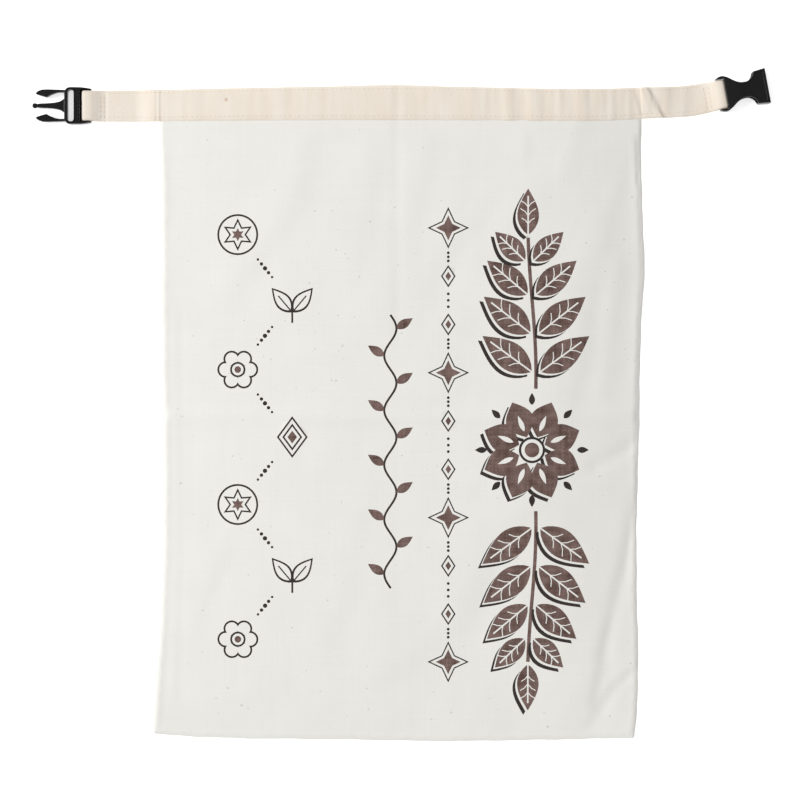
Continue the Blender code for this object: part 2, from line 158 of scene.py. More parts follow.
def rolled(depth):
    """How far the roll of an edge has risen, from 0 at the seam to 1."""
    share = np.clip(depth / ROLL, 0.0, 1.0)
    return np.sqrt(share * (2.0 - share))


def panel_plan(spacing):
    """Places across and up a panel, in lines that crowd at its seams and at the tape."""
    last, first = SEAM_STEPS[-1], MOUTH_STEPS[0]
    columns = round((2 * HALF_PANEL - 2 * last) / spacing)
    rows = round((FRONT_TAPE[0][1] - FOOT[0][1] - last - first) / spacing)
    shares = [(k / columns, last * (1 - 2 * k / columns)) for k in range(1, columns)]
    lines = [(0.0, s) for s in SEAM_STEPS] + shares + [(1.0, -s) for s in reversed(SEAM_STEPS)]
    across, offset = np.array(lines).T[:, :, None]
    shares = [(k / rows, last - (last + first) * k / rows) for k in range(1, rows)]
    lines = [(0.0, s) for s in SEAM_STEPS] + shares + [(1.0, -s) for s in MOUTH_STEPS]
    up, rise = np.array(lines).T[:, None, :]

    x_even = HALF_PANEL * (2 * across - 1) + offset
    mouth = follow(FRONT_TAPE, x_even) + follow(FRONT_TAPE, x_even, 2) / 2 - PANEL_TUCK
    y = foot_seam(x_even) * (1 - up) + mouth * up + rise
    beside = np.where(across < 0.5, offset, -offset) + 0.0 * y
    from_corner = (CORNER - beside, CORNER - rise - 0.0 * y)
    rounds = (across * (1 - across) == 0) & (up == 0) & (from_corner[0] > 0) & (from_corner[1] > 0)
    draw = np.maximum(*from_corner) / np.maximum(np.hypot(*from_corner), 0.001)
    shift = [np.where(rounds, far * (1 - draw), 0.0) for far in from_corner]
    x = side_seam(y, 1) * (1 - across) + side_seam(y, 2) * across + offset
    return x + np.where(across < 0.5, shift[0], -shift[0]), y + shift[1]


def cut_panel(spacing, drawing=()):
    """The panel's triangles in plan, cut along a drawing's outlines, and the ink on each."""
    x, y = panel_plan(spacing)
    number = np.arange(x.size).reshape(x.shape)
    rim = [*number[:, 0], *number[-1, 1:], *number[-2::-1, -1], *number[0, -2:0:-1]]
    points = [Vector(p) for p in np.stack([x.ravel(), y.ravel()], 1)]
    outlines = [[int(k) for k in rim]]
    for outline, _ in drawing:
        outlines.append(list(range(len(points), len(points) + len(outline))))
        points += [Vector(p) for p in outline]
    only_inside, near = 1, 1e-4
    flat, _, faces, _, _, inside = delaunay_2d_cdt(points, [], outlines, only_inside, near, True)
    within = [(face, max(ids)) for face, ids in zip(faces, inside) if ids]
    inks = [drawing[last - 1][1] if last else 0 for _, last in within]
    return np.array(flat), [face for face, _ in within], inks


def shown(name, data):
    """A mesh, lamp or camera as an object in the scene."""
    made = bpy.data.objects.new(name, data)
    bpy.context.scene.collection.objects.link(made)
    return made


def closed_sheet(name, upper, lower, faces, inks=None):
    """A closed sheet between two sets of points that share their faces."""
    count = len(upper)
    sides = {(face[k - 1], face[k]) for face in faces for k in range(len(face))}
    rim = sorted((b, a, a + count, b + count) for a, b in sides if (b, a) not in sides)
    under = [tuple(k + count for k in reversed(face)) for face in faces]
    mesh = bpy.data.meshes.new(name)
    mesh.from_pydata((np.concatenate([upper, lower]) * MM).tolist(), [], [*faces, *under, *rim])
    if inks:
        mesh.polygons.foreach_set("material_index", inks + [0] * (len(under) + len(rim)))
    mesh.shade_smooth()
    mesh.set_sharp_from_angle(angle=SHARP)
    return shown(name, mesh)


def linear(colour):
    """An sRGB hex colour as linear red, green, blue and alpha."""
    parts = [int(colour[k : k + 2], 16) / 255 for k in (1, 3, 5)]
    return (*[p / 12.92 if p < 0.04045 else ((p + 0.055) / 1.055) ** 2.4 for p in parts], 1.0)


def empty_material(name):
    """A material with no nodes yet, and its node tree."""
    made = bpy.data.materials.new(name)
    made.use_nodes = True
    made.node_tree.nodes.clear()
    return made, made.node_tree


def add(tree, kind, inputs, out=0, **settings):
    """Adds a node, sets it, links or sets its inputs, and gives the output asked for."""
    made = tree.nodes.new("ShaderNode" + kind)
    for name, value in settings.items():
        setattr(made, name, value)
    for name, value in inputs.items():
        if isinstance(value, bpy.types.NodeSocket):
            tree.links.new(value, made.inputs[name])
        else:
            made.inputs[name].default_value = value
    return made.outputs[out] if made.outputs else None


def woven_linen(name, cloth, shade, gap_shade, relief, cloud, spread):
    """Plain-woven linen yarn: matt and fuzzy, each yarn a little thicker or darker than
    the next, with dark bits of straw spun in. The real yarns are 0.7 mm apart, too
    fine to show, so they are drawn 1.1 mm apart. The gaps between yarns are painted
    towards the shade colour as painted shade, as far as the fourth argument says;
    relief is how high they stand, and clouds of one size change the tone, the more
    the smaller the spread."""
    made, tree = empty_material(name)
    place = add(tree, "TexCoord", {}, "Object")
    stray = add(
        tree, "TexNoise", {"Vector": place, "Scale": 1 / (STRAY_RUN * MM), "Detail": 1.0}, "Color"
    )
    strayed = add(
        tree, "VectorMath", {0: stray, 1: (STRAY * MM,) * 3, 2: place}, operation="MULTIPLY_ADD"
    )
    pitch = 1 / (YARN * MM)
    yarns = add(tree, "Mapping", {"Vector": strayed, "Scale": (pitch, pitch, 0.0)})
    over = add(tree, "TexChecker", {"Vector": yarns, "Scale": 1.0}, "Fac")
    round_top = []
    for axis in ("X", "Y"):
        side = add(tree, "SeparateXYZ", {0: yarns}, axis)
        turn = add(tree, "Math", {0: side, 1: math.pi}, operation="MULTIPLY")
        wave = add(tree, "Math", {0: turn}, operation="SINE")
        round_top.append(add(tree, "Math", {0: wave}, operation="ABSOLUTE"))
    both = add(tree, "Math", {0: round_top[0], 1: round_top[1]}, operation="MULTIPLY")
    on_top = add(tree, "MixRGB", {"Fac": over, "Color1": round_top[1], "Color2": round_top[0]})
    height = add(tree, "Math", {0: on_top, 1: both}, operation="ADD")

    slubs = []
    for size_x, size_y in ((SLUB_WIDE, SLUB_LONG), (SLUB_LONG, SLUB_WIDE)):
        along = add(tree, "Mapping", {"Vector": yarns, "Scale": (1 / size_x, 1 / size_y, 0.0)})
        slubs.append(add(tree, "TexNoise", {"Vector": along, "Scale": 1.0, "Detail": 2.0}))
    slub = add(tree, "MixRGB", {"Fac": over, "Color1": slubs[1], "Color2": slubs[0]})
    clouds = add(tree, "TexNoise", {"Vector": place, "Scale": 1 / (cloud * MM), "Detail": 3.0})
    tone = add(tree, "Math", {0: slub, 1: clouds}, operation="ADD")
    tone = add(tree, "MapRange", {"Value": tone, "From Min": 1 - spread, "From Max": 1 + spread})
    yarn = add(tree, "MixRGB", {"Fac": tone, "Color1": linear(shade), "Color2": linear(cloth)})
    bits = add(tree, "TexNoise", {"Vector": place, "Scale": 1 / (STRAW * MM), "Detail": 0.0})
    bits = add(tree, "MapRange", {"Value": bits, "From Min": 0.83, "From Max": 0.88, "To Max": 0.3})
    flecked = add(tree, "MixRGB", {"Fac": bits, "Color1": yarn, "Color2": linear("#8a7657")})
    # painted shade: the gaps between yarns are painted towards the shade colour
    between = add(tree, "MapRange", {"Value": height, "To Min": gap_shade, "To Max": 0.0})
    toned = add(tree, "MixRGB", {"Fac": between, "Color1": flecked, "Color2": linear(shade)})

    thickness = add(tree, "Math", {0: slub, 1: 0.8, 2: height}, operation="MULTIPLY_ADD")
    bump = add(tree, "Bump", {"Height": thickness, "Strength": 1.0, "Distance": relief * MM})
    surface = add(tree, "BsdfPrincipled", {
        "Base Color": toned, "Normal": bump, "Roughness": 0.92, "IOR": 1.5,
        "Specular IOR Level": 0.25, "Sheen Weight": 0.12, "Sheen Roughness": 0.6,
    })
    add(tree, "OutputMaterial", {"Surface": surface})
    return made


linen = woven_linen(
    "washed linen", "#f1f0eb", "#eae8e2", gap_shade=0.08, relief=0.012, cloud=26.0, spread=0.6
)
plan, triangles, _ = cut_panel(BACK_SPACING)
rise = STEP_UP * onto_tape(plan[:, 1])
roll = rolled(seam_depth(*plan.T))
seam_top = SEAM_Z - SEAM_HALF_GAP
back_lower = (seam_top - RIM) * (1.0 - roll) + rise
back_upper = LINEN + (seam_top - LINEN) * (1.0 - roll) + rise
panel_back = closed_sheet(
    "panel_back_cloth",
    np.column_stack([plan, back_upper]),
    np.column_stack([plan, back_lower]),
    triangles,
)
panel_back.data.materials.append(linen)
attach(panel_back, "root")
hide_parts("panel_back")


# Printed drawing
# Two inks, a warm brown and a near-black brown, screen printed on the front, with bare
# cloth left for veins and gaps: a round flower between two leafy sprigs, a chain of
# stars and diamonds, a waving stem, and a zigzag of small motifs down the other side.

BROWN, DARK, BARE = 1, 2, 0
LINE = 0.95  # width of a thin printed line
SHADES = (2.8, 1.1)  # the dark line off one side of a leaf ends and starts this far away
MIDRIB_TO, VEINS_AT = 0.84, (0.24, 0.42, 0.6)  # shares of a leaf's length
VEIN, VEIN_REACH = 0.6 * LINE, 0.36  # its width, and its reach as a share of the leaf's width
LEAF_FULL = 0.8  # under 1, a leaf is widest nearer its stalk
drawing = []  # outlines with their ink, painted in order, each over those before it


def paint(outline, ink, x=0.0, y=0.0, turn=0.0):
    """Adds an outline to the drawing, turned by some degrees and then moved."""
    c, s = math.cos(math.radians(turn)), math.sin(math.radians(turn))
    a, b = np.array(outline, float).T
    if (a * np.roll(b, -1) - np.roll(a, -1) * b).sum() < 0:
        a, b = a[::-1], b[::-1]
    drawing.append((np.stack([x + a * c - b * s, y + a * s + b * c], 1), ink))


def circle(radius, sides=32):
    """A round outline."""
    angle = np.arange(sides) * math.tau / sides
    return np.stack([radius * np.cos(angle), radius * np.sin(angle)], 1)


def star(points, outer, inner):
    """The outline of a star."""
    angle = np.arange(2 * points) * math.pi / points
    radius = np.where(np.arange(2 * points) % 2, inner, outer)
    return np.stack([radius * np.cos(angle), radius * np.sin(angle)], 1)


def leaf(start, length, width, fullness=LEAF_FULL, steps=14):
    """A pointed leaf along x."""
    share = np.linspace(0.0, 1.0, steps)
    half = width / 2 * np.sin(math.pi * share**fullness)
    upper = np.stack([start + length * share, half], 1)
    return np.concatenate([upper, (upper * (1, -1))[-2:0:-1]])


def band(path, width):
    """A line of one width along a path of a few points."""
    path = np.array(path, float)
    run = np.gradient(path, axis=0)
    off = np.stack([-run[:, 1], run[:, 0]], 1) / np.linalg.norm(run, axis=1)[:, None] * width / 2
    return np.concatenate([path + off, (path - off)[::-1]])


def ring(radius, width, ink, x, y):
    """A round line. It also clears what is inside it."""
    paint(circle(radius), ink, x, y)
    paint(circle(radius - width), BARE, x, y)


def big_leaf(x, y, turn, length, width):
    """A solid leaf with a bare midrib and side veins, and a thin dark line off one side."""
    shape = leaf(0.0, length, width)
    for shift, ink in zip(SHADES, (DARK, BARE)):
        paint(shape, ink, x - shift, y - shift, turn)
    paint(shape, BROWN, x, y, turn)
    midrib = [(-0.2, 0.0), (0.5 * length, 0.0), (MIDRIB_TO * length, 0.0)]
    paint(band(midrib, LINE), BARE, x, y, turn)
    for share in VEINS_AT:
        reach = VEIN_REACH * width * math.sin(math.pi * share**LEAF_FULL)
        for side in (1, -1):
            start = (share * length, 0.0)
            end = (share * length + 0.9 * reach, side * reach)
            middle = (0.5 * (start[0] + end[0]) + 0.4, 0.42 * end[1])
            paint(band([start, middle, end], VEIN), BARE, x, y, turn)


FLOWER = (82.0, -22.0)  # x, y of the big flower's middle
PETALS, PETAL_FROM, PETAL_REACH, PETAL_WIDE, PETAL_FULL = 8, 8.5, 32.0, 17.5, 0.95
SLIT, DROP = (12.5, 10.5, 3.0), (28.0, 7.5, 3.8)  # in a petal, and between two: start, length, width
HEART, HEART_LINE, SEED = 8.2, 1.5, 4.6  # the middle: radius, width of its line, inner radius
SPRIG = (  # distance along the stem, length, width and angle to it of a pair of leaves
    (47.0, 38.0, 17.5, 54.0),
    (71.0, 37.0, 17.5, 52.0),
    (95.0, 33.0, 16.0, 50.0),
    (116.0, 26.0, 13.5, 46.0),
)
STEM_FROM, STEM_END, STEM_WIDE = 38.0, 132.0, 2.2
STEM_BEND, STEM_BEND_RUN = 2.5, 30.0
LEAF_OFF, LEAF_UP = 2.6, 1.5  # from the stem's middle to a leaf's foot
TIP_LEAF = (29.0, 13.5)  # length, width


def stem_x(along):
    """x of a sprig's bent stem."""
    return FLOWER[0] + STEM_BEND * math.sin(along / STEM_BEND_RUN)


for way in (1, -1):
    stem = [(stem_x(s), FLOWER[1] + way * s) for s in np.linspace(STEM_FROM, STEM_END, 16)]
    paint(band(stem, STEM_WIDE), BROWN)
    for along, long, wide, angle in SPRIG:
        for hand in (1, -1):
            x, y = stem_x(along) + hand * LEAF_OFF, FLOWER[1] + way * (along + LEAF_UP)
            big_leaf(x, y, 90.0 * way - hand * way * angle, long, wide)
    big_leaf(stem[-1][0], stem[-1][1] + way * LEAF_UP, 90.0 * way, *TIP_LEAF)

petal = leaf(PETAL_FROM, PETAL_REACH - PETAL_FROM, PETAL_WIDE, PETAL_FULL)
turns = [360.0 / PETALS * (k + 0.5) for k in range(PETALS)]
for turn in turns:
    for shift, ink in zip(SHADES, (DARK, BARE)):
        paint(petal, ink, FLOWER[0] - shift, FLOWER[1] - shift, turn)
for turn in turns:
    paint(petal, BROWN, *FLOWER, turn)
    paint(leaf(*SLIT), BARE, *FLOWER, turn)
ring(HEART, HEART_LINE, DARK, *FLOWER)
paint(circle(SEED), BROWN, *FLOWER)
for k in range(PETALS):
    paint(leaf(*DROP), DARK, *FLOWER, 360.0 / PETALS * k)

CHAIN_X, CHAIN_FROM, CHAIN_STEP, LINKS, CHAIN_DOT = 30.0, 116.0, 30.0, 10, 0.9
STAR, DIAMOND = (  # reach, points, share of it between them, line, share of the middle, turn
    (13.0, 4, 0.45, 2.0 * LINE, 0.6, 0.0),
    (7.0, 2, 0.65, 1.7 * LINE, 0.4, 90.0),
)
CHAIN = (STAR, DIAMOND, DIAMOND)
for k in range(LINKS):
    y = CHAIN_FROM - CHAIN_STEP * k
    reach, points, waist, line, middle, turn = CHAIN[k % 3]
    for outer, ink in ((reach, DARK), (reach - line, BARE), (middle * reach, BROWN)):
        paint(star(points, outer, waist * outer), ink, CHAIN_X, y, turn)
    if k < LINKS - 1:
        next_reach = CHAIN[(k + 1) % 3][0]
        for step in np.linspace(reach, CHAIN_STEP - next_reach, 5)[1:-1]:
            paint(circle(CHAIN_DOT, 12), DARK, CHAIN_X, y - step)

WAVE_X, WAVE_FROM, WAVE_TO = -6.0, 62.0, -108.0
SWING, SWING_RUN = 3.8, 5.4
WAVE_LEAVES, WAVE_LEAF, WAVE_LEAN = 10, (0.0, 12.0, 5.6), 58.0  # a leaf's start, length, width
wave = [(WAVE_X + SWING * math.sin((WAVE_FROM - y) / SWING_RUN), y) for y in
        np.linspace(WAVE_FROM, WAVE_TO, 120)]
paint(band(wave, 1.4 * LINE), DARK)
for k in range(WAVE_LEAVES):
    y, side = WAVE_FROM - SWING_RUN * math.pi * (k + 0.5), -1 if k % 2 else 1
    paint(leaf(*WAVE_LEAF), BROWN, WAVE_X + side * SWING, y, 90.0 - side * WAVE_LEAN)

MOTIF_X, MOTIF_FROM, MOTIF_STEP, MOTIFS, STAGGER = -84.0, 112.0, 42.0, 7, 17.0
OUTLINE = 1.2  # width of the lines that the small motifs are drawn in
DOTS = ((0.37, 0.8), (0.435, 1.1), (0.5, 1.4), (0.565, 1.1), (0.63, 0.8))  # share of a step, radius


def twin_leaves(x, y, stalk=(-13.0, -9.5, -6.0), fork=-6.5, length=20.0, width=10.0, vein=13.5):
    """Two leaves in line on one stalk."""
    paint(band([(x, y + up) for up in stalk], OUTLINE), DARK)
    for turn in (50.0, 130.0):
        for less, ink in ((0.0, DARK), (OUTLINE, BARE)):
            paint(leaf(1.5 * less, length - 3 * less, width - 2 * less), ink, x, y + fork, turn)
        midrib = [(0.0, 0.0), (7.0, 0.0), (vein, 0.0)]
        paint(band(midrib, 0.7 * OUTLINE), DARK, x, y + fork, turn)


def ringed_star(x, y, radius=12.8, reach=10.2, middle=4.2, waist=0.52):
    """A star in a round line."""
    ring(radius, OUTLINE, DARK, x, y)
    for outer, ink in ((reach, DARK), (reach - 1.9 * OUTLINE, BARE), (middle, BROWN)):
        paint(star(6, outer, waist * outer), ink, x, y, 30.0)


def round_flower(x, y, petals=6, off=7.6, petal=5.2, heart=4.8, seed=2.1):
    """A flower of round petals in line."""
    for less, ink in ((0.0, DARK), (OUTLINE, BARE)):
        for k in range(petals):
            angle = math.tau * k / petals
            middle = (x + off * math.cos(angle), y + off * math.sin(angle))
            paint(circle(petal - less, 20), ink, *middle)
    ring(heart, OUTLINE, DARK, x, y)
    paint(circle(seed, 14), BROWN, x, y)


def nested_diamond(x, y, reaches=(13.0, 8.4), waist=0.74, middle=(4.0, 3.0)):
    """Two diamonds in line, one in the other, round a solid one."""
    for reach in reaches:
        for less, ink in ((0.0, DARK), (1.5 * OUTLINE, BARE)):
            paint(star(2, reach - less, waist * (reach - less)), ink, x, y, 90.0)
    paint(star(2, *middle), BROWN, x, y, 90.0)


for k in range(MOTIFS):
    y = MOTIF_FROM - MOTIF_STEP * k
    side = 1 if k % 2 else -1
    (ringed_star, twin_leaves, round_flower, nested_diamond)[k % 4](MOTIF_X + side * STAGGER, y)
    if k < MOTIFS - 1:
        for share, radius in DOTS:
            x = MOTIF_X + side * STAGGER * (1 - 2 * share)
            paint(circle(radius, 12), DARK, x, y - MOTIF_STEP * share)


# Front panel
# The same linen as the back, laid over it and sewn along both sides and the foot. It
# stands off the back in a low pillow, with the press lines of a bag that was folded
# in four, and with soft waves and valleys that run into the lower right corner.

PUFF_BODY, PUFF_MOUTH = 6.0, 4.9  # how far the front stands off the back
ROUNDINGS = (150.0, 76.0, 160.0)  # widths of the slopes up from the left, right and foot
CLIMB_Y, CLIMB_RUN = 138.0, 44.0  # where the front starts to climb over the back tape
WELT, WELT_AT, WELT_WIDTH = 0.18, 3.2, 1.9  # the ridge that a seam allowance makes
WELT_FADE = 12.0  # it dies away over this far, below the climb onto the tape
HELD, FALLS_HELD, WAVES_HELD = 6.0, 2.5, 8.0  # a seam flattens folds, falls and waves this far in
FOLDS = (  # height, half width, the line that the fold follows (x, y)
    (-0.5, 5.0, ((148.0, -50.0), (139.0, -95.0), (131.0, -124.0), (126.0, -150.0))),
    (-0.4, 2.6, ((149.5, -157.0), (140.0, -164.0), (133.5, -170.0), (131.0, -174.0), (125.0, -183.0))),
    (-0.24, 2.8, ((-1.4, 210.0), (-1.6, 120.0), (-1.0, 50.0))),
    (-0.08, 2.2, ((-1.0, 50.0), (-2.0, -204.0))),
    (0.65, 4.5, ((-150.0, -0.5), (-60.0, -1.5), (40.0, -2.0), (150.0, -1.0))),
    (-0.7, 4.5, ((150.0, -17.0), (138.0, -24.0), (122.0, -32.0))),
    (0.5, 6.5, ((134.0, 92.0), (130.0, 55.0), (125.0, 14.0))),
    (0.3, 7.0, ((111.0, 184.0), (101.0, 150.0))),
    (0.3, 15.0, ((130.0, -146.0), (126.0, -198.0))),
)
FALLS = (  # half the drop, half its width, its reach, the line that it follows downwards
    (0.42, 2.0, 10.0, ((148.5, -44.0), (145.2, -60.0), (138.6, -94.0), (132.0, -121.0),
                       (127.0, -141.0), (124.0, -158.0), (120.0, -176.0))),
    (0.26, 1.3, 7.0, ((149.5, -157.0), (145.4, -160.0), (140.0, -164.0), (133.3, -170.0),
                      (130.8, -174.3), (125.0, -182.6), (120.8, -187.6))),
    (0.38, 6.0, 17.0, ((147.0, 168.0), (131.0, 118.0), (121.0, 78.0), (116.0, 38.0), (106.0, 4.0))),
    (0.48, 9.0, 26.0, ((92.0, -40.0), (67.0, -78.0), (49.0, -112.0), (33.0, -138.0), (4.0, -156.0))),
    (0.38, 7.0, 20.0, ((-50.0, 190.0), (-57.0, 150.0), (-66.0, 125.0), (-80.0, 104.0), (-97.0, 84.0))),
    (0.22, 7.0, 16.0, ((-13.0, 190.0), (-16.0, 140.0), (-24.0, 96.0))),
    (0.20, 6.0, 14.0, ((25.0, 184.0), (18.0, 150.0), (10.0, 126.0))),
    (0.24, 7.0, 16.0, ((58.0, 130.0), (41.0, 112.0), (24.0, 88.0))),
    (0.22, 2.6, 8.0, ((79.0, 190.0), (79.5, 163.0))),
    (0.14, 0.9, 5.0, ((-138.5, 60.0), (-137.0, -60.0), (-139.0, -176.0))),
    (0.06, 0.8, 4.0, ((-131.0, 20.0), (-132.0, -120.0))),
    (0.20, 5.0, 12.0, ((-110.0, -90.0), (-125.0, -128.0))),
    (0.36, 9.0, 24.0, ((122.0, -146.0), (116.0, -198.0))),
    (0.18, 7.0, 16.0, ((-22.0, -68.0), (-33.0, -105.0), (-40.0, -140.0))),
    (0.30, 0.9, 3.0, ((146.6, 184.0), (146.8, 166.0), (147.4, 146.0))),
    (0.30, 1.5, 4.0, ((148.0, 186.0), (148.6, 131.0), (149.8, 92.0), (148.0, 53.0),
                      (146.6, -10.0), (146.2, -24.0))),
)
WAVES = ((0.3, 70.0, 30.0, 3.1), (0.1, 26.0, 11.0, 8.4))  # height, length, width, seed
CRUMPLE = ((0.02, 45.0, 4.0, 5.7),)  # the same for fine ones that run up the bag
SLANT = (0.92, 0.39)  # cosine and sine of the way the waves run
LIVELY = (0.6, 0.8, -20.0, 120.0)  # the waves' least share, its gain, from which x, over
CALM_FROM, CALM_RUN = LIFT_Y + 4.0, 14.0  # the waves die away before the tape
FALLS_LAST = 0.3  # under 1, the falls last nearer to the tape than the waves do
FRONT_SPACING = 2.5  # between the mesh lines
PUCKER, PUCKER_PITCH = 0.07, 3.3  # dimples where the stitches of a seam pull
PUCKER_AT, PUCKER_WIDE = 2.2, 1.3  # in from the seam
PUCKER_STRAY, PUCKER_RUN = 1.5, 11.0  # how uneven their pitch is
HALF_FOOT = 150.0  # half the foot's width


def distance_to(line, x, y):
    """How far each place is from a line of points, and how far it is to its left."""
    nearest, beside = np.full(np.shape(x), np.inf), np.zeros(np.shape(x))
    for (x0, y0), (x1, y1) in zip(line, line[1:]):
        run_x, run_y = x1 - x0, y1 - y0
        share = np.clip(((x - x0) * run_x + (y - y0) * run_y) / (run_x**2 + run_y**2), 0.0, 1.0)
        far = np.hypot(x - x0 - share * run_x, y - y0 - share * run_y)
        left = (run_x * (y - y0) - run_y * (x - x0)) / math.hypot(run_x, run_y)
        beside = np.where(far < nearest, left, beside)
        nearest = np.minimum(nearest, far)
    return nearest, beside


def folded(folds, x, y):
    """The heights of a table of folds together."""
    return sum(
        height * np.exp(-((distance_to(line, x, y)[0] / half_width) ** 2))
        for height, half_width, line in folds
    )


def fallen(falls, x, y):
    """The heights of a table of steps in the cloth, each down to the right of its line."""
    total = 0.0 * x
    for height, half_width, reach, line in falls:
        far, beside = distance_to(line, x, y)
        total = total - height * np.tanh(beside / half_width) * np.exp(-((far / reach) ** 2))
    return total


def swell(depth, rounding):
    """How much of the full puff a place has, by its distance in from a seam."""
    return 1.0 - (1.0 - np.clip(depth / rounding, 0.0, 1.0)) ** 2


def ruffled(table, x, y):
    """Soft unevenness, as the heights of a table of sizes together."""
    total = 0.0
    for height, long, wide, seed in table:
        spots = np.stack([x / wide, y / long, np.full(np.shape(x), seed)], 1)
        total = total + height * np.array([noise.noise(Vector(p)) for p in spots])
    return total


def growing(x, least, gain, start, run):
    """A share that grows to the right."""
    return least + gain * smooth((x - start) / run)


def front_middle(x, y):
    """Height of the middle of the front panel, with its puff, welts and main folds."""
    climb = smooth((y - CLIMB_Y) / CLIMB_RUN)
    puff = PUFF_BODY + (PUFF_MOUTH - PUFF_BODY) * climb
    inwards = (x - side_seam(y, 1), side_seam(y, 2) - x, y - foot_seam(x))
    for depth, rounding in zip(inwards, ROUNDINGS):
        puff = puff * swell(depth, rounding)
    nearest = seam_depth(x, y)
    welt = WELT * np.exp(-(((nearest - WELT_AT) / WELT_WIDTH) ** 2))
    welt = welt * smooth((LIFT_Y - y) / WELT_FADE)
    folds = folded(FOLDS, x, y) * smooth(nearest / HELD)
    return LINEN / 2 + STEP_UP * (1 + climb) + puff + welt + folds


def front_relief(x, y):
    """What shows on the front besides the main folds: fine creases, waves and puckers."""
    nearest = seam_depth(x, y)
    calm = smooth((CALM_FROM - y) / CALM_RUN) * smooth(nearest / WAVES_HELD)
    c, s = SLANT
    waves = ruffled(WAVES, c * x - s * y, s * x + c * y) * growing(x, *LIVELY)
    waves = waves + ruffled(CRUMPLE, x, y)
    along = np.where(y - foot_seam(x) < HALF_FOOT - np.abs(x), x, y)
    turn = math.tau * along / PUCKER_PITCH + PUCKER_STRAY * np.sin(along / PUCKER_RUN)
    pull = PUCKER * np.sin(turn) * np.exp(-(((nearest - PUCKER_AT) / PUCKER_WIDE) ** 2))
    falls = fallen(FALLS, x, y) * smooth(nearest / FALLS_HELD) * calm**FALLS_LAST
    return falls + waves * calm + pull


def inked_linen(name, ink, shade):
    """Screen ink dried in the linen's yarns: it dulls the weave and leaves the cloth's
    own unevenness, so the colour is a little cloudy. The gaps between its yarns are
    painted towards the darker ink colour, a painted shade."""
    return woven_linen(name, ink, shade, gap_shade=0.3, relief=0.04, cloud=7.0, spread=0.3)


plan, triangles, inks = cut_panel(FRONT_SPACING, drawing)
middle = front_middle(*plan.T) + front_relief(*plan.T)
roll = rolled(seam_depth(*plan.T))
rise = STEP_UP * onto_tape(plan[:, 1])
seam_foot = SEAM_Z + SEAM_HALF_GAP + rise
front_upper = seam_foot + RIM + (middle + LINEN / 2 - seam_foot - RIM) * roll
front_lower = seam_foot + (middle - LINEN / 2 - seam_foot) * roll
panel_front = closed_sheet(
    "panel_front_cloth",
    np.column_stack([plan, front_upper]),
    np.column_stack([plan, front_lower]),
    triangles,
    inks,
)
for finish in (
    linen,
    inked_linen("brown ink on linen", "#89716b", "#533d37"),
    inked_linen("dark ink on linen", "#3b322f", "#2b2422"),
):
    panel_front.data.materials.append(finish)
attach(panel_front, "root")
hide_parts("panel_front")


# Back tape
# A 20 mm cotton twill tape, cream, sewn along the back of the mouth. It lies flat on
# the surface and runs out past both sides of the bag, under the front tape.

TAPE, TAPE_EDGE = 1.0, 2.0  # its thickness, and how far in its edges are rounded
TAPE_LINES = (0.0, 0.08, 0.25, 0.5, 1.0, 1.5, 1.9, 2.3, 2.7, 3.1, 3.6, 4.6, 6.4)  # in from an edge
BACK_TAPE = (  # x, y of its middle, width
    (-183.0, 192.5, 19.2),
    (-151.0, 192.9, 19.4),
    (-106.0, 193.7, 19.8),
    (-50.0, 194.9, 20.0),
    (-3.0, 195.9, 20.4),
    (44.0, 194.5, 20.0),
    (91.0, 193.2, 19.8),
    (137.0, 193.6, 19.6),
    (151.0, 194.5, 19.4),
    (170.0, 195.2, 19.2),
    (181.0, 196.1, 19.2),
    (190.0, 197.6, 19.0),
)
BACK_TAPE_ENDS = (-182.5, 187.6)
RIM_THICK = 0.15  # share of the thickness that is left at a rounded edge
RIB, RIB_SLANT = 1.2, (0.88, 0.47)  # drawn distance between two ribs, and the way across them
TAPE_SLUB, TAPE_CLOUD = (3.0, 0.8), (9.0, 40.0)  # along and across the tape
SPOT, SPOT_SOLID, SPOT_OUT = (-108.1, 195.9), 0.3, 1.6  # a small brown stain, and its two radii


def headed(table, x, near=3.0):
    """Which way a tape runs in plan at each x."""
    return np.arctan2(follow(table, x + near) - follow(table, x - near), 2 * near)


def tape_frame(path):
    """Middle line, direction across, normal and width of a tape through stations of
    (x, y, z, width, heading)."""
    line, width, heading = path[:, :3], path[:, 3], path[:, 4]
    across = np.stack([-np.sin(heading), np.cos(heading), 0 * heading], 1)
    run = np.gradient(line, axis=0)
    run = run - across * (run * across).sum(1)[:, None]
    normal = np.cross(run / np.linalg.norm(run, axis=1)[:, None], across)
    return line, across, normal, width


def tape(name, path, relief):
    """A closed tape with rounded edges, whose relief is a height for each place in plan
    and distance in from the edge."""
    line, across, normal, width = tape_frame(path)
    steps = [(-1, e) for e in TAPE_LINES] + [(0, 0.0)] + [(1, e) for e in reversed(TAPE_LINES)]
    upper, lower = [], []
    for side, inwards in steps:
        inwards = np.where(side == 0, width / 2, inwards)
        off = (width / 2 - inwards) * side
        middle = line + across * off[:, None]
        share = np.clip(inwards / TAPE_EDGE, 0.0, 1.0)
        thick = TAPE * (RIM_THICK + (1 - RIM_THICK) * np.sqrt(share * (2 - share)))
        under = relief(middle, inwards) - TAPE / 2
        upper.append(middle + normal * (under + thick)[:, None])
        lower.append(middle + normal * under[:, None])
    rows, count = len(path), len(steps)
    number = np.arange(rows * count).reshape(count, rows)
    quads = np.stack([number[:-1, :-1], number[:-1, 1:], number[1:, 1:], number[1:, :-1]], -1)
    return closed_sheet(
        name, np.concatenate(upper), np.concatenate(lower), quads.reshape(-1, 4).tolist()
    )


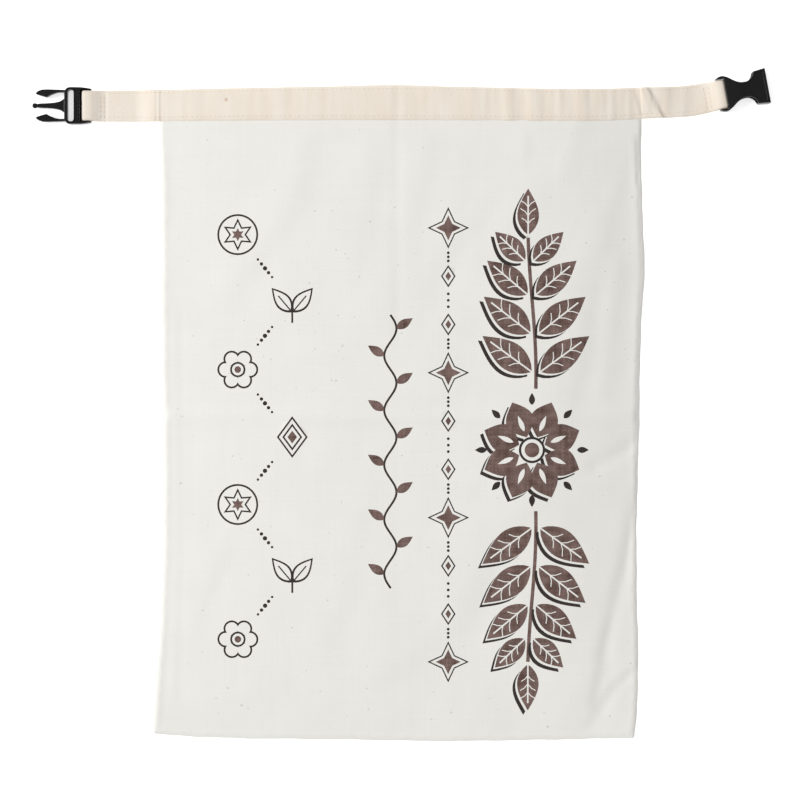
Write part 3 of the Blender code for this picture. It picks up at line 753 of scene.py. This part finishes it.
def cotton_tape():
    """Cotton twill tape: matt, a warm cream, with fine slanting ribs. The ribs are 0.6 mm
    apart, too fine to show, so they are drawn 1.2 mm apart."""
    made, tree = empty_material("cotton twill tape")
    place = add(tree, "TexCoord", {}, "Object")
    across = (RIB_SLANT[0] / MM, RIB_SLANT[1] / MM, 0.0)
    slant = add(tree, "VectorMath", {0: place, 1: across}, "Value", operation="DOT_PRODUCT")
    turn = add(tree, "Math", {0: slant, 1: math.tau / RIB}, operation="MULTIPLY")
    ribs = add(tree, "Math", {0: turn}, operation="SINE")
    uneven = []
    for (long, wide), detail in ((TAPE_SLUB, 2.0), (TAPE_CLOUD, 3.0)):
        drawn = {"Vector": place, "Scale": (1 / (long * MM), 1 / (wide * MM), 0.0)}
        along = add(tree, "Mapping", drawn)
        uneven.append(add(tree, "TexNoise", {"Vector": along, "Scale": 1.0, "Detail": detail}))
    slub, clouds = uneven
    tone = add(tree, "Math", {0: slub, 1: 0.4, 2: clouds}, operation="MULTIPLY_ADD")
    tone = add(tree, "MapRange", {"Value": tone, "From Min": 0.4, "From Max": 1.0})
    yarn = add(
        tree, "MixRGB", {"Fac": tone, "Color1": linear("#ebdecd"), "Color2": linear("#f3ebe0")}
    )
    plan = add(tree, "VectorMath", {0: place, 1: (1.0, 1.0, 0.0)}, operation="MULTIPLY")
    spot_at = (SPOT[0] * MM, SPOT[1] * MM, 0.0)
    spot = add(tree, "VectorMath", {0: plan, 1: spot_at}, "Value", operation="DISTANCE")
    spot = add(tree, "MapRange", {"Value": spot, "From Min": SPOT_SOLID * MM,
                                  "From Max": SPOT_OUT * MM, "To Min": 0.55, "To Max": 0.0})
    stained = add(tree, "MixRGB", {"Fac": spot, "Color1": yarn, "Color2": linear("#b98663")})
    height = add(tree, "Math", {0: slub, 1: 0.9, 2: ribs}, operation="MULTIPLY_ADD")
    bump = add(tree, "Bump", {"Height": height, "Strength": 1.0, "Distance": 0.014 * MM})
    surface = add(tree, "BsdfPrincipled", {
        "Base Color": stained, "Normal": bump, "Roughness": 0.88, "IOR": 1.5,
        "Specular IOR Level": 0.3, "Sheen Weight": 0.1, "Sheen Roughness": 0.5,
    })
    add(tree, "OutputMaterial", {"Surface": surface})
    return made


cotton = cotton_tape()
x = np.linspace(*BACK_TAPE_ENDS, 120)
path = np.stack(
    [x, follow(BACK_TAPE, x), 0 * x + TAPE / 2, follow(BACK_TAPE, x, 2), headed(BACK_TAPE, x)], 1
)
tape_back = tape("tape_back_cloth", path, lambda place, inwards: 0.0 * inwards)
tape_back.data.materials.append(cotton)
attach(tape_back, "root")
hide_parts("tape_back")


# Front tape
# The same tape, sewn along the front of the mouth. Past each side of the bag it lies
# on the back tape, goes over the bar of its half of the buckle and comes back under
# itself, where two rows of stitches across close the loop.

MOUTH_Y, PRESSED = 186.0, 0.34  # stitching presses the tape down on the panel
LOOP_RETURN = 13.0  # the length that comes back under the tape
PLUG_FALL, SOCKET_FALL = (2.0, 12.0), (0.5, 11.5)  # behind a bar, from where to where it falls
BAR_WIDE, BAR_HIGH, BAR_ROUND = 2.8, 2.0, 0.9  # the bar of either half of the buckle
BAR_GAP = 0.3  # the tape clears the bar by this
BAR_Z = TAPE + BAR_GAP + BAR_HIGH / 2
LOOP_R = BAR_HIGH / 2 + BAR_GAP + TAPE / 2
LOOP_FROM, LOOP_TO, LOOP_GAP = 0.6, 12.0, 0.7  # behind the bar, then on to the run over the bag
TAB_Z, TAB_FALLS = TAPE / 2 + STEP_UP, (16.0, 34.0)  # it falls over this far, left and right
PLUG_AT, PLUG_TURN = (-196.1, 192.6), math.pi
SOCKET_AT, SOCKET_TURN, SOCKET_BAR = (203.0, 200.0), math.radians(10.6), -1.7  # a of its bar
PLUG_TAPE, SOCKET_TAPE = 18.8, 18.0  # width of the tape where a bar draws it in
TAPE_OPENS = (3.0, 12.0)  # behind a bar, from the drawn-in width to the full one
TAPE_CREASES = (  # height, half width, line
    (-0.25, 0.8, ((-151.4, 203.0), (-151.6, 182.5))),
    (-0.18, 0.8, ((-183.6, 203.0), (-183.4, 182.5))),
    (0.22, 1.2, ((150.4, 203.0), (152.5, 196.0), (154.8, 190.0))),
)
TAPE_FALLS = (  # half the drop, half its width, its reach, line
    (0.62, 0.6, 6.0, ((154.2, 204.0), (157.0, 198.3), (160.2, 192.5), (164.4, 185.0))),
    (0.18, 0.5, 3.0, ((146.5, 199.0), (148.6, 192.5), (151.0, 184.5))),
    (0.22, 2.2, 6.0, ((168.4, 205.0), (167.6, 185.0))),
    (0.16, 2.0, 6.0, ((180.0, 206.0), (178.5, 186.0))),
)
SEWN_ROWS = (1.9, 2.7)  # in from the tape's upper edge and from its lower edge
SUNK, SUNK_WIDE = 0.09, 0.5  # how deep a row of stitches sinks, and half the width of its groove
ON_BAG, OFF_BAG_RUN = 154.0, 6.0  # the tape lies on the bag up to this x on either side
PRESS_FROM = 0.6  # in from an edge, where the pressed part starts to rise
ON_TOP_RUN = 0.5  # the end that lies under the loop keeps flat: this far up, all relief shows
GATHERS = ((0.34, 60.0, 9.0, 2.2), (0.15, 40.0, 4.0, 6.6))  # height, length, width, seed
GATHERED = (0.5, 0.9, 20.0, 60.0)  # their least share, its gain, from which x, over
GATHERED_OFF = 0.4  # the share of them that is left beside the bag


def on_buckle(at, turn, a, b=0.0):
    """A place in plan, from a buckle half's own a and b, along it and across it."""
    return (at[0] + a * math.cos(turn) - b * math.sin(turn),
            at[1] + a * math.sin(turn) + b * math.cos(turn))


def loop_side(fall):
    """(a, z) of the tape's middle from its end, back under itself and round the bar."""
    centre, top = BAR_WIDE / 2 - BAR_HIGH / 2, BAR_Z + LOOP_R
    path = [(-a, BAR_Z - LOOP_R) for a in np.linspace(LOOP_RETURN, 0.0, 8)]
    for angle in np.radians(np.linspace(-90.0, 90.0, 19)):
        path.append((centre + LOOP_R * math.cos(angle), BAR_Z + LOOP_R * math.sin(angle)))
    start, end = fall
    for back in np.linspace(LOOP_FROM, LOOP_TO, 16):
        path.append((-back, top + (TAB_Z - top) * float(smooth((back - start) / (end - start)))))
    return path


def loop_stations(at, turn, drawn_in, full, heading, fall):
    """The tape's stations round one bar."""
    start, end = TAPE_OPENS
    return [
        (*on_buckle(at, turn, a), z,
         drawn_in + (full - drawn_in) * float(smooth((-a - start) / (end - start))), heading)
        for a, z in loop_side(fall)
    ]


def tape_relief(place, inwards):
    """Sewn rows sink in, the cloth between them puckers, and creases cross it."""
    x, y = place[:, 0], place[:, 1]
    on_bag = smooth((ON_BAG - np.abs(x)) / OFF_BAG_RUN)
    row = np.where(y > follow(FRONT_TAPE, x), *SEWN_ROWS)
    sunk = -SUNK * np.exp(-(((inwards - row) / SUNK_WIDE) ** 2))
    held = -PRESSED * (1.0 - smooth((inwards - PRESS_FROM) / row)) * on_bag
    gathered = ruffled(GATHERS, x, y) * growing(x, *GATHERED)
    gathered = gathered * (GATHERED_OFF + (1 - GATHERED_OFF) * on_bag)
    on_top = smooth((place[:, 2] - TAPE) / ON_TOP_RUN)
    creased = folded(TAPE_CREASES, x, y) + fallen(TAPE_FALLS, x, y)
    return (sunk + held + gathered + creased) * on_top


left_x, right_x = SIDES[-1][1], SIDES[-1][2]
socket_bar_at = on_buckle(SOCKET_AT, SOCKET_TURN, SOCKET_BAR)
loops = (
    loop_stations(PLUG_AT, PLUG_TURN, PLUG_TAPE, FRONT_TAPE[0][2], 0.0, PLUG_FALL),
    loop_stations(
        socket_bar_at, SOCKET_TURN, SOCKET_TAPE, FRONT_TAPE[-1][2], SOCKET_TURN, SOCKET_FALL
    ),
)
x = np.linspace(loops[0][-1][0] + LOOP_GAP, loops[1][-1][0] - LOOP_GAP, 560)
beyond = np.maximum(left_x - x, x - right_x)
edge_z = float(front_middle(left_x, MOUTH_Y)) + STEP_UP
over_bag = front_middle(np.clip(x, left_x, right_x), 0 * x + MOUTH_Y) + STEP_UP - PRESSED
fall = smooth(beyond / np.where(x < 0, *TAB_FALLS))
z = np.where(beyond < 0, over_bag, edge_z + (TAB_Z - edge_z) * fall)
bag_run = np.stack(
    [x, follow(FRONT_TAPE, x), z, follow(FRONT_TAPE, x, 2), headed(FRONT_TAPE, x)], 1
)
path = np.concatenate([loops[0], bag_run, loops[1][::-1]])
tape_front = tape("tape_front_cloth", path, tape_relief)
tape_front.data.materials.append(cotton)
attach(tape_front, "root")
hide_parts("tape_front")


# Stitches
# Cream polyester thread, lockstitched through tape and panel in one row near each edge
# of the front tape, and in two rows across it behind each half of the buckle.

STITCH, STITCH_GAP, THREAD = 2.4, 0.5, 0.42  # drawn a little thicker than the real 0.3 mm
CROSS_ROWS = (-187.4, -184.6, 190.2, 193.0)  # x of the rows that close the loops
SEWN_FROM, SEWN_TO = -187.0, 189.5  # x of the ends of the long rows
ROW_END, ACROSS_ENDS = 2.0, (3.2, 3.0)  # bare tape before and after a row's stitches
THIN, BLUNT = 0.25, 0.98  # they leave a stitch's ends about a third of its thickness
DIP = 0.5  # its ends sink into the tape by this share of its thickness
SEAT = -0.02  # the long rows lie this far into the tape
TAPE_MIDDLE = 9.0  # so far in from a tape's edges that no row's groove counts


def sewing_thread():
    """Spun polyester: satin, a touch darker than the tape, with its twist as fine ridges
    0.6 mm apart."""
    made, tree = empty_material("polyester sewing thread")
    place = add(tree, "TexCoord", {}, "Object")
    slant = add(tree, "Mapping", {"Vector": place, "Rotation": (0.0, 0.0, math.radians(35))})
    twist = add(tree, "TexWave", {"Vector": slant, "Scale": 1 / (0.6 * MM) / math.tau})
    uneven = add(tree, "TexNoise", {"Vector": place, "Scale": 1 / (5 * MM)})
    colour = add(
        tree, "MixRGB", {"Fac": uneven, "Color1": linear("#e0cfb8"), "Color2": linear("#ebddcb")}
    )
    bump = add(tree, "Bump", {"Height": twist, "Strength": 0.6, "Distance": 0.05 * MM})
    surface = add(tree, "BsdfPrincipled", {"Base Color": colour, "Normal": bump, "Roughness": 0.6})
    add(tree, "OutputMaterial", {"Surface": surface})
    return made


def stitches(name, places):
    """One mesh of stitches, thinner and sunk at both ends. Each place is a middle, a
    direction and a normal."""
    rounds, sides = np.linspace(-1.0, 1.0, 7), 8
    vertices, faces = [], []
    for middle, run, normal in places:
        beside = np.cross(normal, run)
        first = len(vertices)
        for share in rounds:
            thick = THREAD / 2 * (THIN + (1 - THIN) * math.sqrt(1 - BLUNT * share**2))
            sunk = -DIP * THREAD * share**4
            for k in range(sides):
                angle = math.tau * k / sides
                vertices.append(middle + run * share * STITCH / 2 + normal * sunk
                                + thick * (beside * math.cos(angle) + normal * math.sin(angle)))
        for ring_at in range(len(rounds) - 1):
            for k in range(sides):
                a, b = first + ring_at * sides + k, first + ring_at * sides + (k + 1) % sides
                faces.append((a, a + sides, b + sides, b))
        faces.append(tuple(range(first, first + sides)))
        faces.append(tuple(range(len(vertices) - 1, len(vertices) - 1 - sides, -1)))
    mesh = bpy.data.meshes.new(name)
    mesh.from_pydata((np.array(vertices) * MM).tolist(), [], faces)
    mesh.shade_smooth()
    return shown(name, mesh)


def sewn_along(path, row, side):
    """Places of a row of stitches along a tape, near its upper (1) or lower (-1) edge."""
    line, across, normal, width = tape_frame(path)
    middle = line + across * ((width / 2 - row) * side)[:, None]
    depth = tape_relief(middle, np.full(len(middle), row))
    surface = middle + normal * (TAPE / 2 + SEAT + depth)[:, None]
    length = np.concatenate([[0], np.cumsum(np.linalg.norm(np.diff(surface, axis=0), axis=1))])
    places = []
    for s in np.arange(ROW_END, length[-1] - ROW_END, STITCH + STITCH_GAP):
        at, ahead, up = [
            np.array([np.interp(far, length, values[:, k]) for k in range(3)])
            for far, values in ((s, surface), (s + 1.0, surface), (s, normal))
        ]
        places.append((at, (ahead - at) / np.linalg.norm(ahead - at), up / np.linalg.norm(up)))
    return places


def sewn_across(path, x):
    """Places of a row of stitches straight across a tape."""
    line, across, normal, width = tape_frame(path)
    k = int(np.argmin(np.abs(line[:, 0] - x)))
    places, (first, last) = [], ACROSS_ENDS
    for off in np.arange(first - width[k] / 2, width[k] / 2 - last, STITCH + STITCH_GAP):
        middle = line[k] + across[k] * off
        lift = TAPE / 2 + tape_relief(middle[None], np.array([TAPE_MIDDLE]))[0]
        places.append((middle + normal[k] * lift, across[k], normal[k]))
    return places


sewn_run = bag_run[(bag_run[:, 0] > SEWN_FROM) & (bag_run[:, 0] < SEWN_TO)]
places = sewn_along(sewn_run, SEWN_ROWS[0], 1) + sewn_along(sewn_run, SEWN_ROWS[1], -1)
upper_run = path[path[:, 2] > TAB_Z - 0.1]  # without the ends that come back under the tape
for row_x in CROSS_ROWS:
    places += sewn_across(upper_run, row_x)
thread = stitches("stitches_front", places)
thread.data.materials.append(sewing_thread())
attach(thread, "root")


# Buckle plug
# Injection-moulded black acetal, the male half of a 20 mm side-release buckle: a frame
# with a slot, a ribbed crossbar and the bar that carries the tape, a middle prong with
# a knob, and two sprung arms with barbs. Every edge has the small radius of a mould.

PLUG_THICK, PLUG_EDGE = 5.0, 0.5  # edge: how far the outline's edges are taken off
PLUG_BAR_HALF = 10.6  # half the length of its bar
PLUG_RIM = (  # a, b, corner radius: one half of the frame's outline
    (13.2, 0.0, 0.0),
    (13.2, 9.0, 2.0),
    (11.4, 11.1, 1.5),
    (9.5, 11.5, 2.0),
    (3.0, 11.4, 6.0),
    (-0.4, 11.0, 6.0),
    (-3.6, 10.45, 0.3),
    (-3.5, 10.0, 0.2),
    (3.25, 9.9, 0.4),
    (3.25, 0.0, 0.0),
)
PLUG_SLOT, SLOT_CORNER = (7.25, 11.1, 9.9), 1.9  # a from, a to, half width, then its radius
PLUG_ARM = (  # a, b, corner radius: one sprung arm
    (12.4, 8.25, 0.2),
    (16.2, 8.35, 8.0),
    (18.6, 7.9, 8.0),
    (21.6, 6.75, 6.0),
    (24.2, 5.2, 0.8),
    (27.5, 6.1, 6.0),
    (31.0, 7.2, 0.4),
    (30.6, 8.2, 1.0),
    (29.3, 9.2, 3.0),
    (26.8, 10.0, 3.0),
    (23.3, 10.1, 6.0),
    (12.4, 9.7, 0.2),
)
PLUG_PRONG = (  # a, half width
    (12.2, 5.0),
    (13.6, 4.2),
    (15.2, 3.0),
    (17.5, 2.25),
    (20.0, 1.8),
    (24.0, 1.5),
    (29.0, 1.2),
    (30.4, 0.95),
)
KNOB, KNOB_EDGE = (31.6, 1.65), 0.9  # a, radius
ARM_Z, PRONG_Z, KNOB_Z, ARM_EDGE = (0.4, 4.6), (1.0, 4.0), (0.9, 4.1), 0.4  # z from, z to
GROOVES, GROOVE_PITCH, GROOVE_DEEP = 9, 2.2, 0.6  # they part the ribs of the crossbar
GROOVE_HALF, GROOVE_TOP = 1.15, PLUG_THICK + 0.05  # half the width of a groove, at its top
RIBBED = (3.6, 6.9)  # a of the ends of the grooves
CROSS_GROOVE = (5.0, 5.5, -9.4, 9.4)  # one long groove through them all: a, a, b, b
PAST = 3.0  # a cut reaches at least this far past what it cuts
VOXEL, KEPT = 0.14, 0.4  # size of the skin's mesh, and the share of its faces that stay
SOFTEN = (0.5, 8)  # how far and how often the skin is smoothed
GRAIN, SINKS, WORN = 0.35, 2.6, 6.0  # sizes of the unevenness in the plastic's surface
SINKS_DEEP = 9.0  # next to 1 for the grain


def corners_rounded(outline, steps=7):
    """An outline of (a, b, corner radius), with each corner made a curve."""
    points = []
    for k, (a, b, radius) in enumerate(outline):
        here = np.array((a, b))
        before = np.array(outline[k - 1][:2]) - here
        after = np.array(outline[(k + 1) % len(outline)][:2]) - here
        far_before, far_after = np.linalg.norm(before), np.linalg.norm(after)
        one, two = before / far_before, after / far_after
        half = max(math.acos(np.clip(one @ two, -1.0, 1.0)) / 2, 0.05)
        most = 0.49 * min(far_before, far_after)  # so that two corners don't meet
        reach = min(radius / math.tan(half), most)
        for t in np.linspace(0.0, 1.0, steps) if reach > 0.01 else (0.5,):
            points.append(here + one * reach * (1 - t) ** 2 + two * reach * t**2)
    return np.array(points)


def mirrored(half):
    """A whole outline from one half of it, listed from one end to the other."""
    return list(half) + [(a, -b, *rest) for a, b, *rest in reversed(half) if b]


def plate(outline, low, high, edge=0.0):
    """Vertices and faces of a plate of one outline, with its edges taken off."""
    outline = np.array(outline, float)
    ahead = np.roll(outline, -1, 0)
    if (outline[:, 0] * ahead[:, 1] - ahead[:, 0] * outline[:, 1]).sum() < 0:
        outline = outline[::-1]
    run = np.roll(outline, -1, 0) - np.roll(outline, 1, 0)
    inward = np.stack([-run[:, 1], run[:, 0]], 1) / np.linalg.norm(run, axis=1)[:, None]
    rings = [(0.0, low), (0.0, high)]
    if edge:
        slopes = [(edge * (1 - math.sin(t)), edge * (1 - math.cos(t)))
                  for t in np.radians((0.0, 30.0, 60.0, 90.0))]
        rings = [(i, low + r) for i, r in slopes] + [(i, high - r) for i, r in slopes[::-1]]
    count = len(outline)
    vertices = [(*(p + n * by), z) for by, z in rings for p, n in zip(outline, inward)]
    faces = [tuple(reversed(range(count))), tuple(range(len(vertices) - count, len(vertices)))]
    for level in range(len(rings) - 1):
        for k in range(count):
            here, beside = level * count + k, level * count + (k + 1) % count
            faces.append((here, beside, beside + count, here + count))
    return vertices, faces


def box(a_from, a_to, b_from, b_to, low, high):
    """A plain block."""
    return plate([(a_from, b_from), (a_to, b_from), (a_to, b_to), (a_from, b_to)], low, high)


def along_b(section, half):
    """A bar of one section in a and z, lying along b."""
    turned, faces = plate(section, -half, half)
    return [(a, -b, z) for a, z, b in turned], faces


def along_a(section, a_from, a_to):
    """A bar of one section in b and z, lying along a."""
    turned, faces = plate(section, a_from, a_to)
    return [(a, b, z) for b, z, a in turned], faces


def tape_bar(a, half):
    """The bar that a tape loops round, with round edges."""
    section = [(a + side * BAR_WIDE / 2, BAR_Z + up * BAR_HIGH / 2, BAR_ROUND)
               for side, up in ((1, -1), (1, 1), (-1, 1), (-1, -1))]
    return along_b(corners_rounded(section), half)


def solid(name, part):
    """An object of one closed part, still in millimetres."""
    vertices, faces = part
    mesh = bpy.data.meshes.new(name)
    mesh.from_pydata([tuple(map(float, v)) for v in vertices], [], faces)
    return shown(name, mesh)


def moulded(name, parts, cuts, at, turn):
    """Parts joined and cut, drawn over with one skin that has a mould's soft edges, and
    put in its place."""
    body, tools = solid(name, parts[0]), []
    for operation, others in (("UNION", parts[1:]), ("DIFFERENCE", cuts)):
        for other in others:
            tools.append(solid(name + "_tool", other))
            step = body.modifiers.new("step", "BOOLEAN")
            step.operation, step.object, step.solver = operation, tools[-1], "MANIFOLD"
    step = body.modifiers.new("skin", "REMESH")
    step.mode, step.voxel_size = "VOXEL", VOXEL
    step = body.modifiers.new("soften", "SMOOTH")
    step.factor, step.iterations = SOFTEN
    step = body.modifiers.new("lighten", "DECIMATE")
    step.ratio = KEPT
    bpy.context.view_layer.update()
    skin = bpy.data.meshes.new_from_object(
        body.evaluated_get(bpy.context.evaluated_depsgraph_get())
    )
    points = np.array([v.co for v in skin.vertices])
    placed = np.stack([*on_buckle(at, turn, points[:, 0], points[:, 1]), points[:, 2]], 1)
    skin.vertices.foreach_set("co", (placed * MM).ravel())
    skin.shade_smooth()
    skin.materials.clear()
    body.modifiers.clear()
    body.data = skin
    for tool in tools:
        bpy.data.objects.remove(tool)
    return body


def black_acetal():
    """Moulded black acetal: a deep black with the satin gloss of a polished mould. Slight
    sinks and a faint spark-eroded grain break its highlights up, and it is worn duller
    in patches."""
    made, tree = empty_material("black moulded acetal")
    place = add(tree, "TexCoord", {}, "Object")
    grain, sinks, worn = [
        add(tree, "TexNoise", {"Vector": place, "Scale": 1 / (size * MM), "Detail": detail})
        for size, detail in ((GRAIN, 2.0), (SINKS, 1.0), (WORN, 4.0))
    ]
    rough = add(tree, "MapRange", {"Value": worn, "To Min": 0.22, "To Max": 0.4})
    colour = add(
        tree, "MixRGB", {"Fac": worn, "Color1": linear("#080808"), "Color2": linear("#121111")}
    )
    height = add(tree, "Math", {0: sinks, 1: SINKS_DEEP, 2: grain}, operation="MULTIPLY_ADD")
    bump = add(tree, "Bump", {"Height": height, "Strength": 1.0, "Distance": 0.01 * MM})
    surface = add(tree, "BsdfPrincipled", {
        "Base Color": colour, "Roughness": rough, "Normal": bump, "IOR": 1.45,
        "Specular IOR Level": 0.3,
    })
    add(tree, "OutputMaterial", {"Surface": surface})
    return made


acetal = black_acetal()
a_from, a_to, half = PLUG_SLOT
slot_corners = ((a_from, -half), (a_to, -half), (a_to, half), (a_from, half))
slot = corners_rounded([(a, b, SLOT_CORNER) for a, b in slot_corners])
prong_a = np.linspace(PLUG_PRONG[0][0], PLUG_PRONG[-1][0], 30)
prong = mirrored(list(zip(prong_a, follow(PLUG_PRONG, prong_a))))
parts = [
    plate(corners_rounded(mirrored(PLUG_RIM)), 0.0, PLUG_THICK, PLUG_EDGE),
    plate(prong, *PRONG_Z, ARM_EDGE),
    plate(circle(KNOB[1], 24) + (KNOB[0], 0.0), *KNOB_Z, KNOB_EDGE),
    tape_bar(0.0, PLUG_BAR_HALF),
]
for side in (1, -1):
    arm = corners_rounded([(a, side * b, r) for a, b, r in PLUG_ARM])
    parts.append(plate(arm, *ARM_Z, ARM_EDGE))
cuts = [plate(slot, -PAST, PLUG_THICK + PAST)]
for k in range(GROOVES):
    b = (k - (GROOVES - 1) / 2) * GROOVE_PITCH
    groove = [(b + side * GROOVE_HALF, GROOVE_TOP) for side in (-1, 1)]
    cuts.append(along_a([*groove, (b, PLUG_THICK - GROOVE_DEEP)], *RIBBED))
cuts.append(box(*CROSS_GROOVE, PLUG_THICK - GROOVE_DEEP, PLUG_THICK + PAST))
plug = moulded("buckle_plug_shell", parts, cuts, PLUG_AT, PLUG_TURN)
plug.data.materials.append(acetal)
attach(plug, "root")
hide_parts("buckle_plug")


# Buckle socket
# The female half, moulded in the same acetal: a waisted shell, open at its mouth and
# at both sides of the waist, where fingers press the arms. Its tail holds the bar that
# the tape goes round, and a raised rim runs round the top of the shell.

SOCKET_THICK, SOCKET_EDGE, SOCKET_BAR_HALF = 8.2, 1.0, 10.1
SOCKET_HORN = (  # a, half width: the arms beside the tape, on one curve into the waist
    (-5.4, 9.6),
    (-2.8, 10.8),
    (0.0, 10.8),
    (2.9, 9.2),
    (5.8, 7.0),
    (8.5, 5.5),
    (11.9, 4.8),
    (14.4, 5.1),
    (16.2, 6.2),
    (17.7, 8.0),
    (18.5, 10.1),
)
SOCKET_BELL = ((18.9, 10.2), (26.2, 11.0))  # a, half width: the straight-sided mouth
SOCKET_WALL = 1.5
SOCKET_BORE = (4.5, 9.4)  # a where the hollow starts, its half width
SOCKET_POCKET = (1.5, 9.5, 5.0)  # a where the tape's pocket ends, half width, height
SOCKET_NOTCH = (0.0, 4.0)  # a and z from which the tape's way out is open at the top
SOCKET_SLOPE = ((-5.6, 5.6), (0.0, 6.8), (9.5, 8.2))  # a, z of the top's fall to the tape
RAISED_RIM, SUNK_BY = 1.5, 0.4  # width of the rim, and how far the middle lies below it
SUNK_WAIST = (1.2, 17.0)  # a from and to, where it follows the horns and the waist
SUNK_BELL = ((19.6, 8.6), (24.4, 9.2))  # a, half width: where it follows the mouth
PAST_TAIL, PAST_MOUTH, PAST_TOP, PAST_SIDE = -9.0, 30.0, 14.0, 20.0  # where the cuts end
SLOPE_ENDS = (-8.0, 12.0)

rim_a = np.linspace(SOCKET_HORN[0][0], SOCKET_HORN[-1][0], 46)
rim = mirrored([(a, b) for a, b in zip(rim_a, follow(SOCKET_HORN, rim_a))] + list(SOCKET_BELL))
inner_a = np.linspace(SUNK_WAIST[0], SOCKET_BELL[0][0], 30)
inner_a = inner_a[inner_a < SUNK_WAIST[1]]
inner = [*zip(inner_a, follow(SOCKET_HORN, inner_a) - RAISED_RIM), *SUNK_BELL]
slope_at = np.linspace(*SLOPE_ENDS, 30)
slope = [*zip(slope_at, follow(SOCKET_SLOPE, slope_at))]
slope += [(SLOPE_ENDS[1], PAST_TOP), (SLOPE_ENDS[0], PAST_TOP)]
shell = plate(rim, 0.0, SOCKET_THICK, SOCKET_EDGE)
(bore_a, bore_half), (pocket_a, pocket_half, pocket_high) = SOCKET_BORE, SOCKET_POCKET
cuts = [
    box(bore_a, PAST_MOUTH, -bore_half, bore_half, SOCKET_WALL, SOCKET_THICK - SOCKET_WALL),
    box(PAST_TAIL, pocket_a, -pocket_half, pocket_half, -PAST, pocket_high),
    box(PAST_TAIL, SOCKET_NOTCH[0], -pocket_half, pocket_half, SOCKET_NOTCH[1], PAST_TOP),
    along_b(slope, PAST_SIDE),
    plate(mirrored(inner), SOCKET_THICK - SUNK_BY, SOCKET_THICK + PAST),
]
socket_parts = [shell, tape_bar(SOCKET_BAR, SOCKET_BAR_HALF)]
socket = moulded("buckle_socket_shell", socket_parts, cuts, SOCKET_AT, SOCKET_TURN)
socket.data.materials.append(acetal)
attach(socket, "root")
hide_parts("buckle_socket")


# Surface, light and camera
# A plain white table, lit from above by a large soft light that leans to the left and
# by the bright room round it. The camera looks straight down on the bag.

TABLE_REACH = 40000.0  # half its side: it ends past what any view shows
TABLE_TOP = -0.2  # just clear of the flat underside of the cloth
GLOW, ROOM_LIGHT = 0.6, 0.52  # the table shines a little, so that it shows as pure white
LAMP_SIZE, LAMP_POWER, LAMP_AT = 3300.0, 425.0, (-5900.0, 1200.0, 4200.0)  # power in watts
VIEW_WIDTH, VIEW_Y = 500.0, 9.06  # what the picture takes in, and the y of its middle
LENS, SENSOR = 100.0, 36.0

floor_mesh = bpy.data.meshes.new("table")
reach = TABLE_REACH * MM
corners = [(-reach, -reach, 0.0), (reach, -reach, 0.0), (reach, reach, 0.0), (-reach, reach, 0.0)]
floor_mesh.from_pydata(corners, [], [(0, 1, 2, 3)])
floor = shown("table", floor_mesh)
floor.location.z = TABLE_TOP * MM
white, tree = empty_material("white laminate")  # smooth and matt, with no grain that shows
laminate = add(tree, "BsdfPrincipled", {
    "Base Color": linear("#fafafa"), "Roughness": 0.7,
    "Emission Color": linear("#ffffff"), "Emission Strength": GLOW,
})
add(tree, "OutputMaterial", {"Surface": laminate})
floor_mesh.materials.append(white)

room = bpy.data.worlds.new("bright room")
room.use_nodes = True
room.node_tree.nodes["Background"].inputs["Color"].default_value = linear("#ffffff")
room.node_tree.nodes["Background"].inputs["Strength"].default_value = ROOM_LIGHT
bpy.context.scene.world = room

softbox = bpy.data.lights.new("softbox", "AREA")
softbox.shape, softbox.size, softbox.energy = "SQUARE", LAMP_SIZE * MM, LAMP_POWER
lamp = shown("softbox", softbox)
lamp.location = Vector(LAMP_AT) * MM
lamp.rotation_euler = (-lamp.location).to_track_quat("-Z", "Y").to_euler()

eye = bpy.data.cameras.new("camera")
eye.lens, eye.sensor_width = LENS, SENSOR
camera = shown("camera", eye)
camera.location = (0.0, VIEW_Y * MM, VIEW_WIDTH * MM * LENS / SENSOR)
bpy.context.scene.camera = camera
bpy.context.scene.view_settings.view_transform = "Standard"
